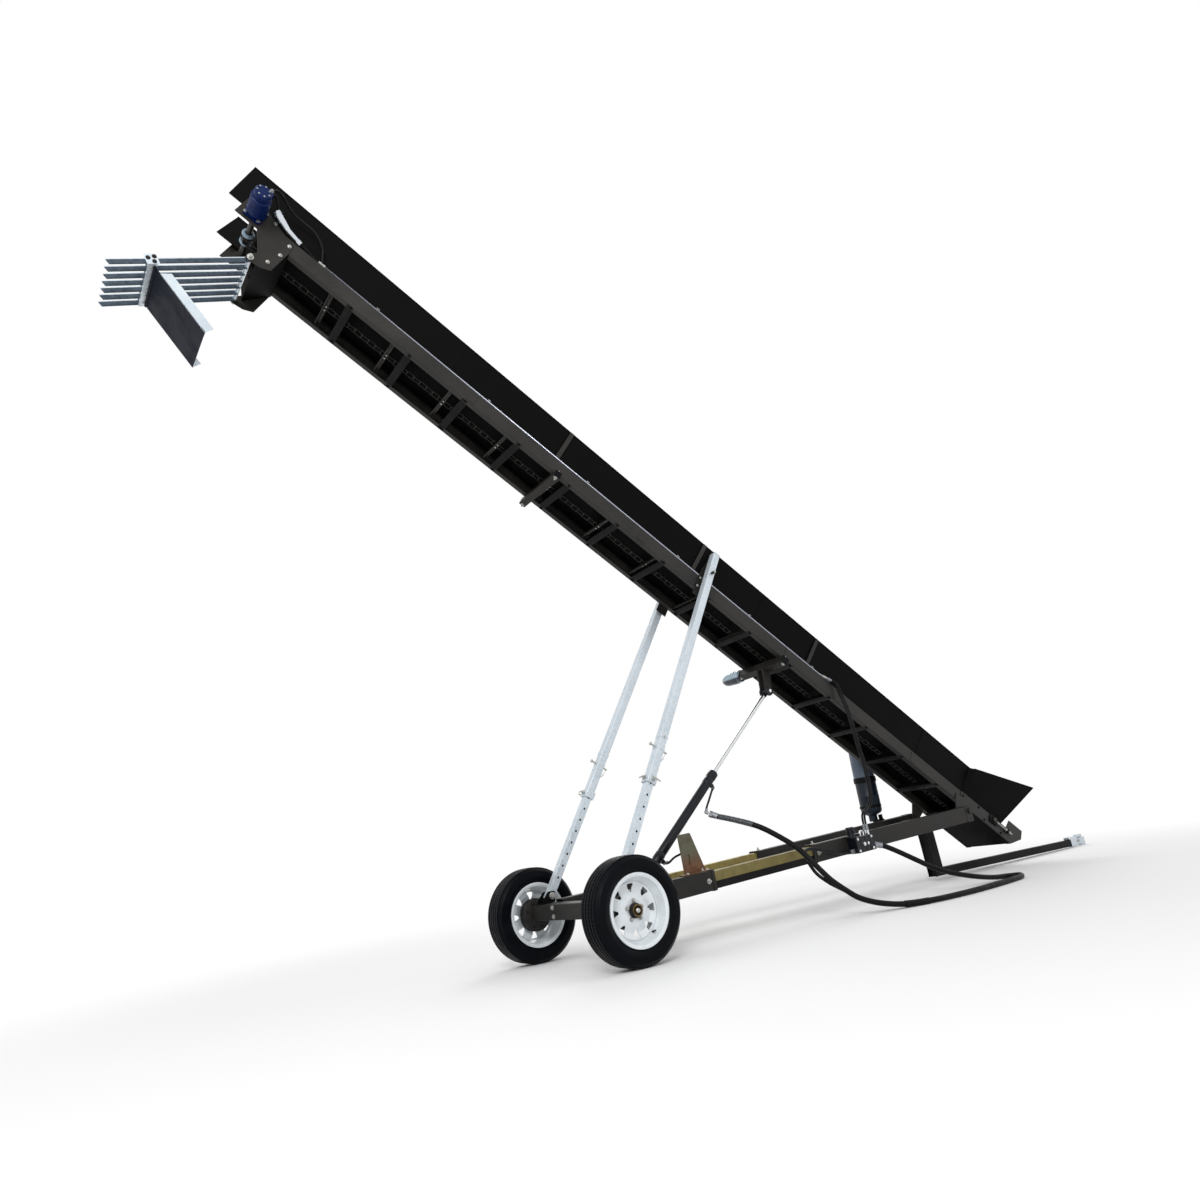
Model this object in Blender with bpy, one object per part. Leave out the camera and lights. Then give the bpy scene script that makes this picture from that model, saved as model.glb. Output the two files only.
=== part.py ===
"""Towed firewood conveyor: a 7.7 m chain conveyor on a two-wheel chassis, standing as it parks.

Metres, +Z up, +X towards the drawbar, +Y towards the conveyor's right side. The origin is on the
floor under the middle of the machine. Three local frames carry the work: the chassis frame has its
origin on the wheel axis and X along the rails, the boom frame has its origin on the tail pivot and
X along the boom towards the tail, and the grate frame has its origin on the grate's root hinge.
"""

import math

import bmesh
import bpy
from mathutils import Matrix, Vector

# Fit between pieces
GAP = 0.0003
RUN = 0.001
SIDES = {"left": -1, "right": 1}

# Wheels
TYRE_R = 0.2915
TYRE_W = 0.175
RIM_R = 0.1955
RIM_W = 0.155
RIM_FLANGE = 0.006
BEAD_R = 0.178
TRACK = 1.090
HUB_R = 0.062
SPINDLE_R = 0.020
LUG_CIRCLE_R = 0.052
NUT_R = 0.010
WHEEL_STEPS = 24

# Chassis
CHASSIS_PITCH = math.radians(2.6)
BEAM_L = 0.10
BEAM_H = 0.093
BEAM_HALF = TRACK / 2 - 0.110
BEAM_Z = 0.0165
RAIL_Y = 0.270
RAIL_Z = 0.020
RAIL_W = 0.080
RAIL_H = 0.120
RAIL_WALL = 0.005
INNER_W = 0.066
INNER_H = 0.106
REAR_RAIL_END = 0.840
FRONT_RAIL_START = 1.760
RAIL_END = 3.640
INNER_LAP = 0.300

# Tail pivot, in the chassis frame
PIVOT_X = 3.686
PIVOT_Z = 0.042
PIVOT_R = 0.016
PIVOT_BLOCK_L = 0.080

# Boom
BOOM_ANGLE = math.radians(34.87)
UNDERSIDE = 0.0962
HEAD_X = -6.940
TAIL_X = 0.710
CHANNEL_Y = 0.210
CHANNEL_H = 0.106
CHANNEL_FLANGE = 0.040
STEEL = 0.004
BOARD_H = 0.254
BOARD_LEAN = 0.050
BOARD_FOOT_Y = 0.178
STIFFENERS_X = (-4.430, -3.140, -1.905)
FLOOR_T = 0.100
CROSS_PITCH = 0.4415
CROSS_AT_X = -0.290
CROSS_HEAD_ROOM = 0.500
CROSS_W = 0.050
CROSS_T = 0.006
FOLD_X = 0.050
WING_END_X = 0.570
WING_TIP_X = 0.735
WING_TIP_H = 0.470

# Pipes on the near channel
PIPE_R = 0.006
PIPE_INNER_Y = -0.1885
PIPE_OUTER_Y = -0.2040
PIPE_START_X = -6.300
PIPE_END_X = -1.700

# Drag chain
HEAD_SHAFT_X = -6.750
TAIL_SHAFT_X = 0.440
CHAIN_R = 0.033
CHAIN_H = 0.012
SHAFT_T = FLOOR_T + STEEL / 2 + GAP + CHAIN_H / 2 - CHAIN_R
CHAIN_W = 0.050
SHAFT_R = 0.0175
SHAFT_SLOT_L = 0.090
SHAFT_SLOT_H = 0.036
FLIGHT_COUNT = 32
FLIGHT_H = 0.028
FLIGHT_L = 0.006
FLIGHT_HALF = 0.165

# Legs
LEG_TOP_X = -3.040
LEG_TOP_T = 0.120
LEG_TOP_Y = 0.272
LEG_FOOT_X = 0.045
LEG_FOOT_Z = 0.103
LEG_FOOT_Y = BEAM_HALF - 0.059
LEG_OUTER = 0.055
LEG_INNER = 0.0475
LEG_WALL = 0.003
LEG_OVER = 0.185
LEG_COLLAR_AT = 0.681
LEG_LOWER_L = 1.497
LEG_PIN_R = 0.010
LEG_EYE_PLAY = 0.0017
LEG_TOP_PLAY = 0.010
LEG_PIN_REACH = 0.034

# Lift cylinder
CYL_BASE_X = 0.4625
CYL_BASE_Z = 0.047
BARREL_R = 0.031
BARREL_BORE = 0.026
BARREL_L = 1.035
ROD_R = 0.014
ROD_IN = 0.080
EYE_X = -2.055
EYE_T = -0.192
EYE_R = 0.026
EYE_W = 0.040
EAR_T = 0.010
EAR_Y = EYE_W / 2 + 0.003 + EAR_T / 2
CYL_PIN_R = 0.0125
EYE_DRIFT = 0.014
PORT_L = 0.034
PORT_W = 0.024
LOW_PORT_AT = 0.265

# Crossbars under the boom
LIFT_BAR_X = -2.150
LIFT_BAR = 0.060
UPPER_BAR_X = -4.380
UPPER_BAR = 0.050
BAR_REACH = 0.240

# Grate and baffle
GRATE_X = -6.600
GRATE_T = -0.205
GRATE_ANGLE = math.radians(19.0)
GRATE_L = 0.760
GRATE_HALF = 0.200
BAR_COUNT = 7
BAR_H = 0.030
BAR_W = 0.014
CLAMP_AT = 0.535
BAFFLE_ANGLE = math.radians(55.0)
BAFFLE_L = 0.414
BAFFLE_HALF = 0.185
KNUCKLE_R = 0.009

# Drawbar
DRAWBAR_START = 3.420
DRAWBAR_END = 5.700
DRAWBAR_Z = 0.062
DRAWBAR_SIZE = 0.060

# Fittings on the rails
CANISTER_X = 3.360
CANISTER_H = 0.560

# The pipe on the cylinder's top port, as points from that port's place on the barrel's line
PORT_PIPE = [(0.0480, 0.0, 0.0010), (0.0473, -0.0300, -0.0558), (0.0740, -0.0450, -0.1798),
             (0.0875, -0.0470, -0.2120), (0.1052, -0.0600, -0.2111)]

# Hoses: the main one leaves the pipe's end by the first table, and the rest are points from the
# wheel axis on the floor
HOSE_LEAVING = [(0.0017, -0.0020, -0.0015), (0.0240, -0.0250, -0.0190), (0.1240, -0.1100, -0.0660),
                (0.2140, -0.2400, -0.1350)]
HOSE_CYLINDER = [(1.417, -0.400, 0.517), (1.474, -0.460, 0.441),
                 (1.510, -0.525, 0.345), (1.555, -0.590, 0.241), (1.606, -0.650, 0.166),
                 (1.671, -0.700, 0.103), (1.779, -0.765, 0.055), (1.920, -0.840, 0.026),
                 (2.120, -0.915, 0.0195), (2.400, -0.955, 0.0195), (2.700, -0.955, 0.0195),
                 (3.000, -0.930, 0.0195), (3.200, -0.895, 0.0195), (3.300, -0.830, 0.0195),
                 (3.270, -0.760, 0.0205), (3.130, -0.735, 0.030), (2.950, -0.715, 0.060),
                 (2.780, -0.670, 0.105), (2.640, -0.620, 0.160), (2.540, -0.550, 0.235),
                 (2.460, -0.470, 0.310), (2.400, -0.405, 0.362), (2.3398, -0.368, 0.385)]
HOSE_TWIN = [(2.1275, -0.350, 0.365), (2.060, -0.352, 0.360), (1.950, -0.358, 0.374), (1.812, -0.368, 0.405),
             (1.640, -0.385, 0.432), (1.555, -0.420, 0.400), (1.530, -0.500, 0.293),
             (1.535, -0.600, 0.195), (1.585, -0.700, 0.105), (1.660, -0.790, 0.045),
             (1.760, -0.868, 0.0160), (1.870, -0.902, 0.0135), (1.980, -0.8985, 0.0215)]
HOSE_BOOM = [(2.484, -0.240, 1.520), (2.492, -0.262, 1.401),
             (2.480, -0.290, 1.250), (2.468, -0.310, 1.100), (2.462, -0.330, 0.954),
             (2.442, -0.345, 0.760), (2.390, -0.350, 0.660), (2.310, -0.350, 0.610),
             (2.2933, -0.350, 0.560), (2.2933, -0.350, 0.4925)]
HOSE_PITCH = 0.021
HOSE_RETURN = [(0.6985, -0.0135, 0.487), (0.703, -0.045, 0.487), (0.732, -0.080, 0.516), (0.770, -0.140, 0.532),
               (0.788, -0.190, 0.508), (0.790, -0.2306, 0.497)]

EX = Vector((1, 0, 0))
EY = Vector((0, 1, 0))
EZ = Vector((0, 0, 1))


def clear_scene():
    for thing in list(bpy.data.objects):
        bpy.data.objects.remove(thing, do_unlink=True)


def collection(name):
    group = bpy.data.collections.new(name)
    bpy.context.scene.collection.children.link(group)
    return group


clear_scene()
PARTS = collection("firewood_conveyor")
CUTTERS = collection("cutters")
CUTTERS.hide_render = True


def paint(name, colour, rough, metal):
    material = bpy.data.materials.new(name)
    material.use_nodes = True
    shader = material.node_tree.nodes["Principled BSDF"]
    shader.inputs["Base Color"].default_value = (*colour, 1.0)
    shader.inputs["Roughness"].default_value = rough
    shader.inputs["Metallic"].default_value = metal
    material.diffuse_color = (*colour, 1.0)
    return material


BLACK = paint("black_paint", (0.020, 0.020, 0.021), 0.45, 0.0)
GREY = paint("grey_paint", (0.060, 0.060, 0.056), 0.45, 0.0)
ZINC = paint("zinc", (0.62, 0.68, 0.70), 0.35, 0.8)
OLIVE = paint("passivated", (0.28, 0.24, 0.09), 0.4, 0.6)
CHROME = paint("chrome", (0.75, 0.77, 0.78), 0.15, 1.0)
BLUE = paint("motor_blue", (0.015, 0.035, 0.16), 0.35, 0.0)
NAVY = paint("canister_blue", (0.010, 0.020, 0.045), 0.4, 0.0)
RUBBER = paint("rubber", (0.012, 0.012, 0.013), 0.8, 0.0)
WHITE = paint("wheel_white", (0.70, 0.73, 0.75), 0.35, 0.2)
DARK = paint("dark_iron", (0.05, 0.05, 0.055), 0.5, 0.4)
GLASS = paint("lens", (0.35, 0.42, 0.47), 0.2, 0.0)


def empty(name, parent=None, location=(0, 0, 0), rotation=(0, 0, 0)):
    frame = bpy.data.objects.new(name, None)
    frame.parent = parent
    frame.location = location
    frame.rotation_euler = rotation
    PARTS.objects.link(frame)
    return frame


def mesh_from(bm, name):
    bmesh.ops.recalc_face_normals(bm, faces=bm.faces)
    mesh = bpy.data.meshes.new(name)
    bm.to_mesh(mesh)
    bm.free()
    return mesh


def block(size, centre, turn=None):
    """A box, turned about its own centre by a 3x3 matrix where one is given."""
    bm = bmesh.new()
    bmesh.ops.create_cube(bm, size=1.0)
    bmesh.ops.scale(bm, vec=size, verts=bm.verts)
    matrix = Matrix.Translation(centre)
    if turn is not None:
        matrix = matrix @ turn.to_4x4()
    bmesh.ops.transform(bm, matrix=matrix, verts=bm.verts)
    return mesh_from(bm, "block")


def bar(radius, start, end, sides=16, end_radius=None):
    """A round bar or a cone from one point to another."""
    start = Vector(start)
    end = Vector(end)
    run = end - start
    bm = bmesh.new()
    bmesh.ops.create_cone(bm, cap_ends=True, segments=sides, radius1=radius,
                          radius2=radius if end_radius is None else end_radius, depth=run.length)
    turn = run.to_track_quat("Z", "Y").to_matrix().to_4x4()
    bmesh.ops.transform(bm, matrix=Matrix.Translation((start + end) / 2) @ turn, verts=bm.verts)
    return mesh_from(bm, "bar")


def plate(outline, thickness, place, across=EX, up=EZ):
    """A flat plate: its outline lies in the plane of across and up, centred on its thickness."""
    curve = bpy.data.curves.new("outline", "CURVE")
    curve.dimensions = "2D"
    curve.fill_mode = "BOTH"
    curve.extrude = thickness / 2
    spline = curve.splines.new("POLY")
    spline.points.add(len(outline) - 1)
    for point, (x, y) in zip(spline.points, outline):
        point.co = (x, y, 0, 1)
    spline.use_cyclic_u = True
    shape = bpy.data.objects.new("outline", curve)
    CUTTERS.objects.link(shape)
    depsgraph = bpy.context.evaluated_depsgraph_get()
    mesh = bpy.data.meshes.new_from_object(shape.evaluated_get(depsgraph))
    bpy.data.objects.remove(shape, do_unlink=True)
    across = Vector(across).normalized()
    up = Vector(up).normalized()
    basis = Matrix((across, up, across.cross(up))).transposed().to_4x4()
    bm = bmesh.new()
    bm.from_mesh(mesh)
    bpy.data.meshes.remove(mesh)
    bmesh.ops.remove_doubles(bm, verts=bm.verts, dist=0.00001)
    bmesh.ops.transform(bm, matrix=Matrix.Translation(place) @ basis, verts=bm.verts)
    return mesh_from(bm, "plate")


def turned(profile, place, axis=EY, steps=32):
    """A turned piece: profile points are radius and place along the axis, closed into a loop."""
    bm = bmesh.new()
    verts = [bm.verts.new((radius, 0, along)) for radius, along in profile]
    edges = [bm.edges.new((verts[i], verts[(i + 1) % len(verts)])) for i in range(len(verts))]
    bmesh.ops.spin(bm, geom=verts + edges, axis=(0, 0, 1), cent=(0, 0, 0), steps=steps,
                   angle=2 * math.pi, use_merge=True)
    bmesh.ops.remove_doubles(bm, verts=bm.verts, dist=0.00001)
    on_axis = [edge for edge in bm.edges if not edge.link_faces]
    bmesh.ops.delete(bm, geom=on_axis, context="EDGES")
    turn = Vector(axis).to_track_quat("Z", "Y").to_matrix().to_4x4()
    bmesh.ops.transform(bm, matrix=Matrix.Translation(place) @ turn, verts=bm.verts)
    return mesh_from(bm, "turned")


def combine(target, tool, operation, number):
    helper = bpy.data.objects.new(f"{target.name}.{operation.lower()}{number}", tool)
    helper.parent = target.parent
    helper.location = target.location
    helper.rotation_euler = target.rotation_euler
    helper.hide_render = True
    helper.display_type = "WIRE"
    CUTTERS.objects.link(helper)
    step = target.modifiers.new(f"{operation.lower()}{number}", "BOOLEAN")
    step.operation = operation
    step.solver = "EXACT"
    step.object = helper


def solid(name, material, meshes, parent, cuts=(), smooth=False):
    """One node: the first mesh with the others joined on and the cuts taken out."""
    thing = bpy.data.objects.new(name, meshes[0])
    thing.parent = parent
    thing.data.name = name
    thing.data.materials.append(material)
    PARTS.objects.link(thing)
    for number, mesh in enumerate(meshes[1:]):
        combine(thing, mesh, "UNION", number)
    for number, mesh in enumerate(cuts):
        combine(thing, mesh, "DIFFERENCE", number)
    if smooth:
        thing.data.shade_smooth()
        thing.data.set_sharp_from_angle(angle=math.radians(35))
    return thing


def tube(name, material, points, radius, parent, resolution=2):
    """A pipe or hose: a poly line with a round section and filled ends."""
    curve = bpy.data.curves.new(name, "CURVE")
    curve.dimensions = "3D"
    curve.bevel_depth = radius
    curve.bevel_resolution = resolution
    curve.use_fill_caps = True
    spline = curve.splines.new("POLY")
    spline.points.add(len(points) - 1)
    for point, place in zip(spline.points, points):
        point.co = (*place, 1)
    thing = bpy.data.objects.new(name, curve)
    thing.parent = parent
    curve.materials.append(material)
    PARTS.objects.link(thing)
    return thing


def smooth_route(points, spacing):
    """Evenly spaced points on a smooth curve through the route's own points."""
    route = [Vector(p) for p in points]
    padded = [route[0] * 2 - route[1]] + route + [route[-1] * 2 - route[-2]]
    fine = []
    for i in range(1, len(padded) - 2):
        p0, p1, p2, p3 = padded[i - 1:i + 3]
        for k in range(24):
            u = k / 24
            fine.append(0.5 * (2 * p1 + (p2 - p0) * u + (2 * p0 - 5 * p1 + 4 * p2 - p3) * u ** 2
                               + (3 * p1 - p0 - 3 * p2 + p3) * u ** 3))
    fine.append(route[-1])
    total = sum((b - a).length for a, b in zip(fine, fine[1:]))
    count = max(2, round(total / spacing))
    step = total / count
    result = [fine[0]]
    travelled = 0.0
    for a, b in zip(fine, fine[1:]):
        length = (b - a).length
        while travelled + length >= step * len(result) - 1e-9 and len(result) < count:
            result.append(a.lerp(b, (step * len(result) - travelled) / length))
        travelled += length
    result.append(fine[-1])
    return result


def turn_y(angle):
    return Matrix.Rotation(angle, 3, "Y")


# Frames
MACHINE = empty("machine")
CHASSIS = empty("chassis_frame", MACHINE, (0, 0, TYRE_R), (0, -CHASSIS_PITCH, 0))
PIVOT_PLACE = turn_y(-CHASSIS_PITCH) @ Vector((PIVOT_X, 0, PIVOT_Z)) + Vector((0, 0, TYRE_R))
BOOM = empty("boom_axis", MACHINE, PIVOT_PLACE, (0, BOOM_ANGLE, 0))


def on_boom(x, y, t):
    """A place on the boom: x from the pivot towards the tail, t above the boom's underside."""
    return Vector((x, y, UNDERSIDE + t))


def boom_to_chassis(place):
    world = turn_y(BOOM_ANGLE) @ Vector(place) + PIVOT_PLACE - Vector((0, 0, TYRE_R))
    return turn_y(CHASSIS_PITCH) @ world


def make_wheels():
    for side, sign in SIDES.items():
        axis = empty(f"wheel_axis_{side}", MACHINE, (0, sign * TRACK / 2, TYRE_R))
        half = TYRE_W / 2
        edge = RIM_W / 2
        bead = edge - RIM_FLANGE - GAP
        tyre = [(BEAD_R + GAP, -bead), (RIM_R + 0.003, -bead), (RIM_R + 0.012, -half + 0.006),
                (RIM_R + 0.045, -half), (TYRE_R - 0.026, -half + 0.004),
                (TYRE_R - 0.006, -half + 0.022), (TYRE_R, -half + 0.045)]
        tyre += [(radius, -along) for radius, along in reversed(tyre)]
        solid(f"tyre_{side}", RUBBER, [turned(tyre, (0, 0, 0), EY * sign, WHEEL_STEPS)], axis, smooth=True)
        rim = [(RIM_R, edge), (RIM_R - 0.005, edge + 0.004), (BEAD_R - 0.004, edge - 0.002),
               (0.160, 0.030), (0.150, 0.022), (0.118, 0.010), (0.070, 0.026),
               (0.033, 0.026), (0.033, 0.020), (0.068, 0.020), (0.118, 0.004),
               (0.150, 0.014), (0.155, -0.030), (BEAD_R - 0.004, -edge + 0.002),
               (RIM_R - 0.005, -edge - 0.004), (RIM_R, -edge), (RIM_R, -edge + RIM_FLANGE),
               (BEAD_R, -edge + RIM_FLANGE), (BEAD_R, -0.045), (0.163, -0.030), (0.163, 0.028),
               (BEAD_R, 0.045), (BEAD_R, edge - RIM_FLANGE), (RIM_R, edge - RIM_FLANGE)]
        windows = []
        for k in range(8):
            angle = math.tau * k / 8
            out = Vector((math.cos(angle), 0, math.sin(angle)))
            windows.append(plate([(-0.020, 0.020), (0.020, 0.020), (0.005, -0.018), (-0.005, -0.018)],
                                 0.080, out * 0.122 + EY * sign * 0.012, out.cross(EY), out))
        hub = [(HUB_R, 0.0197), (HUB_R, -0.008), (0.100, -0.012), (0.100, -0.060), (0.036, -0.064),
               (0.036, -0.075), (SPINDLE_R + RUN, -0.075), (SPINDLE_R + RUN, 0.058), (0.0, 0.058),
               (0.0, 0.064), (0.027, 0.062), (0.032, 0.050), (0.032, 0.0197)]
        nuts = []
        for k in range(5):
            angle = math.tau * (k + 0.25) / 5
            centre = Vector((math.cos(angle), 0, math.sin(angle))) * LUG_CIRCLE_R
            nuts.append(bar(NUT_R, centre + EY * sign * 0.022, centre + EY * sign * 0.040, 6))
        solid(f"rim_{side}", WHITE, [turned(rim, (0, 0, 0), EY * sign, WHEEL_STEPS)] + nuts, axis,
              windows, True)
        solid(f"hub_{side}", DARK, [turned(hub, (0, 0, 0), EY * sign, 20)], axis, smooth=True)


def make_axle():
    beam = [block((BEAM_L, 2 * BEAM_HALF, BEAM_H), (0, 0, BEAM_Z))]
    spindle_end = TRACK / 2 + 0.055
    for sign in SIDES.values():
        beam.append(bar(SPINDLE_R, (0, sign * (BEAM_HALF - 0.02), 0), (0, sign * spindle_end, 0), 20))
    solid("axle_beam", GREY, beam, CHASSIS)
    top = BEAM_Z + BEAM_H / 2
    for side, sign in SIDES.items():
        y = sign * LEG_FOOT_Y
        ear = [(-0.045, top + GAP), (0.060, top + GAP), (LEG_FOOT_X + 0.026, LEG_FOOT_Z + 0.028),
               (LEG_FOOT_X - 0.026, LEG_FOOT_Z + 0.028)]
        gap = LEG_OUTER / 2 + 0.004
        pieces = [plate(ear, 0.008, (0, y + gap, 0)), plate(ear, 0.008, (0, y - gap, 0))]
        pieces.append(block((0.090, 2 * gap + 0.004, 0.006), (0, y, top + GAP + 0.003)))
        pieces.append(bar(LEG_PIN_R, (LEG_FOOT_X, y - gap - 0.012, LEG_FOOT_Z),
                          (LEG_FOOT_X, y + gap + 0.012, LEG_FOOT_Z), 16))
        solid(f"leg_foot_{side}", BLACK, pieces, CHASSIS)


def make_rails():
    for side, sign in SIDES.items():
        y = sign * RAIL_Y
        bore = (RAIL_W - 2 * RAIL_WALL, RAIL_H - 2 * RAIL_WALL)
        rear_start = BEAM_L / 2 + GAP
        rear = block((REAR_RAIL_END - rear_start, RAIL_W, RAIL_H),
                     ((REAR_RAIL_END + rear_start) / 2, y, RAIL_Z))
        rear_bore = block((INNER_LAP + 0.02, bore[0], bore[1]),
                          (REAR_RAIL_END - INNER_LAP / 2, y, RAIL_Z))
        solid(f"rear_rail_{side}", GREY, [rear], CHASSIS, [rear_bore])
        front = block((RAIL_END - FRONT_RAIL_START, RAIL_W, RAIL_H),
                      ((RAIL_END + FRONT_RAIL_START) / 2, y, RAIL_Z))
        front_bore = block((INNER_LAP + 0.02, bore[0], bore[1]),
                           (FRONT_RAIL_START + INNER_LAP / 2, y, RAIL_Z))
        end_block = block((PIVOT_BLOCK_L + 0.006, RAIL_W + 0.004, RAIL_H + 0.004),
                          (RAIL_END + PIVOT_BLOCK_L / 2 - 0.003, y, RAIL_Z))
        pin = bar(PIVOT_R, (PIVOT_X, y, PIVOT_Z), (PIVOT_X, sign * (CHANNEL_Y - 0.030), PIVOT_Z), 20)
        solid(f"front_rail_{side}", GREY, [front, end_block, pin], CHASSIS, [front_bore])
        start = REAR_RAIL_END - INNER_LAP + 0.010
        end = FRONT_RAIL_START + INNER_LAP - 0.010
        drop = (bore[1] - INNER_H) / 2 - GAP
        inner = block((end - start, INNER_W, INNER_H), ((start + end) / 2, y, RAIL_Z - drop))
        finish = BLACK if side == "left" else OLIVE
        solid(f"inner_rail_{side}", finish, [inner], CHASSIS)


def make_cross_members():
    inside = RAIL_Y - RAIL_W / 2 - GAP
    ear = [(CYL_BASE_X - 0.055, RAIL_Z - 0.030), (CYL_BASE_X + 0.055, RAIL_Z - 0.030),
           (CYL_BASE_X + 0.030, CYL_BASE_Z + 0.030), (CYL_BASE_X - 0.030, CYL_BASE_Z + 0.030)]
    pieces = [block((0.080, 2 * inside, 0.040), (CYL_BASE_X, 0, RAIL_Z - 0.035))]
    pieces += [plate(ear, EAR_T, (0, s * EAR_Y, 0)) for s in (-1, 1)]
    pieces.append(bar(CYL_PIN_R, (CYL_BASE_X, -EAR_Y - 0.012, CYL_BASE_Z),
                      (CYL_BASE_X, EAR_Y + 0.012, CYL_BASE_Z), 16))
    solid("cylinder_cross_member", GREY, pieces, CHASSIS)


def make_drawbar():
    """The drop bracket hangs from the front cross member and the drawbar runs under the tail."""
    ground = turn_y(CHASSIS_PITCH) @ Vector((0, 0, -TYRE_R))
    slope = math.tan(CHASSIS_PITCH)

    def floor_z(x, height):
        return ground.z + height / math.cos(CHASSIS_PITCH) - (x - ground.x) * slope

    x = DRAWBAR_START + 0.060
    top = RAIL_Z - 0.050
    inside = RAIL_Y - RAIL_W / 2 - GAP
    bar_z = floor_z(x, DRAWBAR_Z)
    half = DRAWBAR_SIZE / 2
    drop = [(x - 0.060, top), (x + 0.050, top), (x + 0.050, bar_z - half), (x - 0.060, bar_z - half)]
    plates = [plate(drop, 0.008, (0, s * (half + 0.004 + GAP), 0)) for s in (-1, 1)]
    beam = block((0.060, 2 * inside, 0.080), (x, 0, RAIL_Z - 0.015))
    solid("drawbar_bracket", BLACK, [beam] + plates, CHASSIS)
    start = Vector((x - 0.040, 0, bar_z))
    run = DRAWBAR_END - DRAWBAR_START
    fall = math.atan2(floor_z(start.x + run, DRAWBAR_SIZE / 2 + 0.0115) - bar_z, run)
    line = turn_y(-fall) @ EX
    middle = start + line * run / 2
    solid("drawbar", BLACK, [block((run, DRAWBAR_SIZE, DRAWBAR_SIZE), middle, turn_y(-fall))], CHASSIS)
    nose = start + line * run
    level = turn_y(CHASSIS_PITCH)
    neck = block((0.120, 0.050, 0.050), nose + level @ Vector((0.0606, 0, 0.004)), level)
    cup = bar(0.036, nose + level @ Vector((0.150, 0, -DRAWBAR_SIZE / 2 - 0.0115)),
              nose + level @ Vector((0.150, 0, 0.034)), 20)
    hollow = bar(0.026, nose + level @ Vector((0.150, 0, -0.080)), nose + level @ Vector((0.150, 0, 0.010)), 20)
    handle = block((0.110, 0.024, 0.010), nose + level @ Vector((0.105, 0, 0.045)),
                   level @ turn_y(math.radians(12)))
    solid("coupler", ZINC, [neck, cup, handle], CHASSIS, [hollow])


def channel_section(x0, x1, side):
    """The boom's side channel, open inwards: web outside, a flange above and one below."""
    y = side * (CHANNEL_Y - STEEL / 2)
    length = x1 - x0
    middle = (x0 + x1) / 2
    flange_y = side * (CHANNEL_Y - CHANNEL_FLANGE / 2)
    return [block((length, STEEL, CHANNEL_H), on_boom(middle, y, CHANNEL_H / 2)),
            block((length, CHANNEL_FLANGE, STEEL), on_boom(middle, flange_y, STEEL / 2)),
            block((length, CHANNEL_FLANGE, STEEL), on_boom(middle, flange_y, CHANNEL_H - STEEL / 2))]


def make_boom_frame():
    pieces = channel_section(HEAD_X + 0.30, TAIL_X, -1) + channel_section(HEAD_X + 0.30, TAIL_X, 1)
    towards_tail = int((TAIL_X - CROSS_W / 2 - CROSS_AT_X) / CROSS_PITCH)
    towards_head = int((CROSS_AT_X - HEAD_X - CROSS_HEAD_ROOM) / CROSS_PITCH)
    for k in range(towards_tail, -towards_head - 1, -1):
        x = CROSS_AT_X + CROSS_PITCH * k
        pieces.append(block((CROSS_W, 2 * (CHANNEL_Y - STEEL / 2), CROSS_T), on_boom(x, 0, CROSS_T / 2)))
    slot = block((SHAFT_SLOT_L, 2 * CHANNEL_Y + 0.020, SHAFT_SLOT_H), on_boom(TAIL_SHAFT_X, 0, SHAFT_T))
    solid("boom_frame", BLACK, pieces, BOOM, [slot])
    floor_half = CHANNEL_Y - CHANNEL_FLANGE - GAP
    floor_l = TAIL_SHAFT_X - HEAD_SHAFT_X - 2 * (CHAIN_R + 0.012)
    middle = (TAIL_SHAFT_X + HEAD_SHAFT_X) / 2
    lips = [block((floor_l, STEEL, 0.030), on_boom(middle, s * (floor_half - STEEL / 2), FLOOR_T - 0.015))
            for s in (-1, 1)]
    floor = block((floor_l, 2 * floor_half, STEEL), on_boom(middle, 0, FLOOR_T))
    solid("floor_pan", BLACK, [floor] + lips, BOOM)


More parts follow.
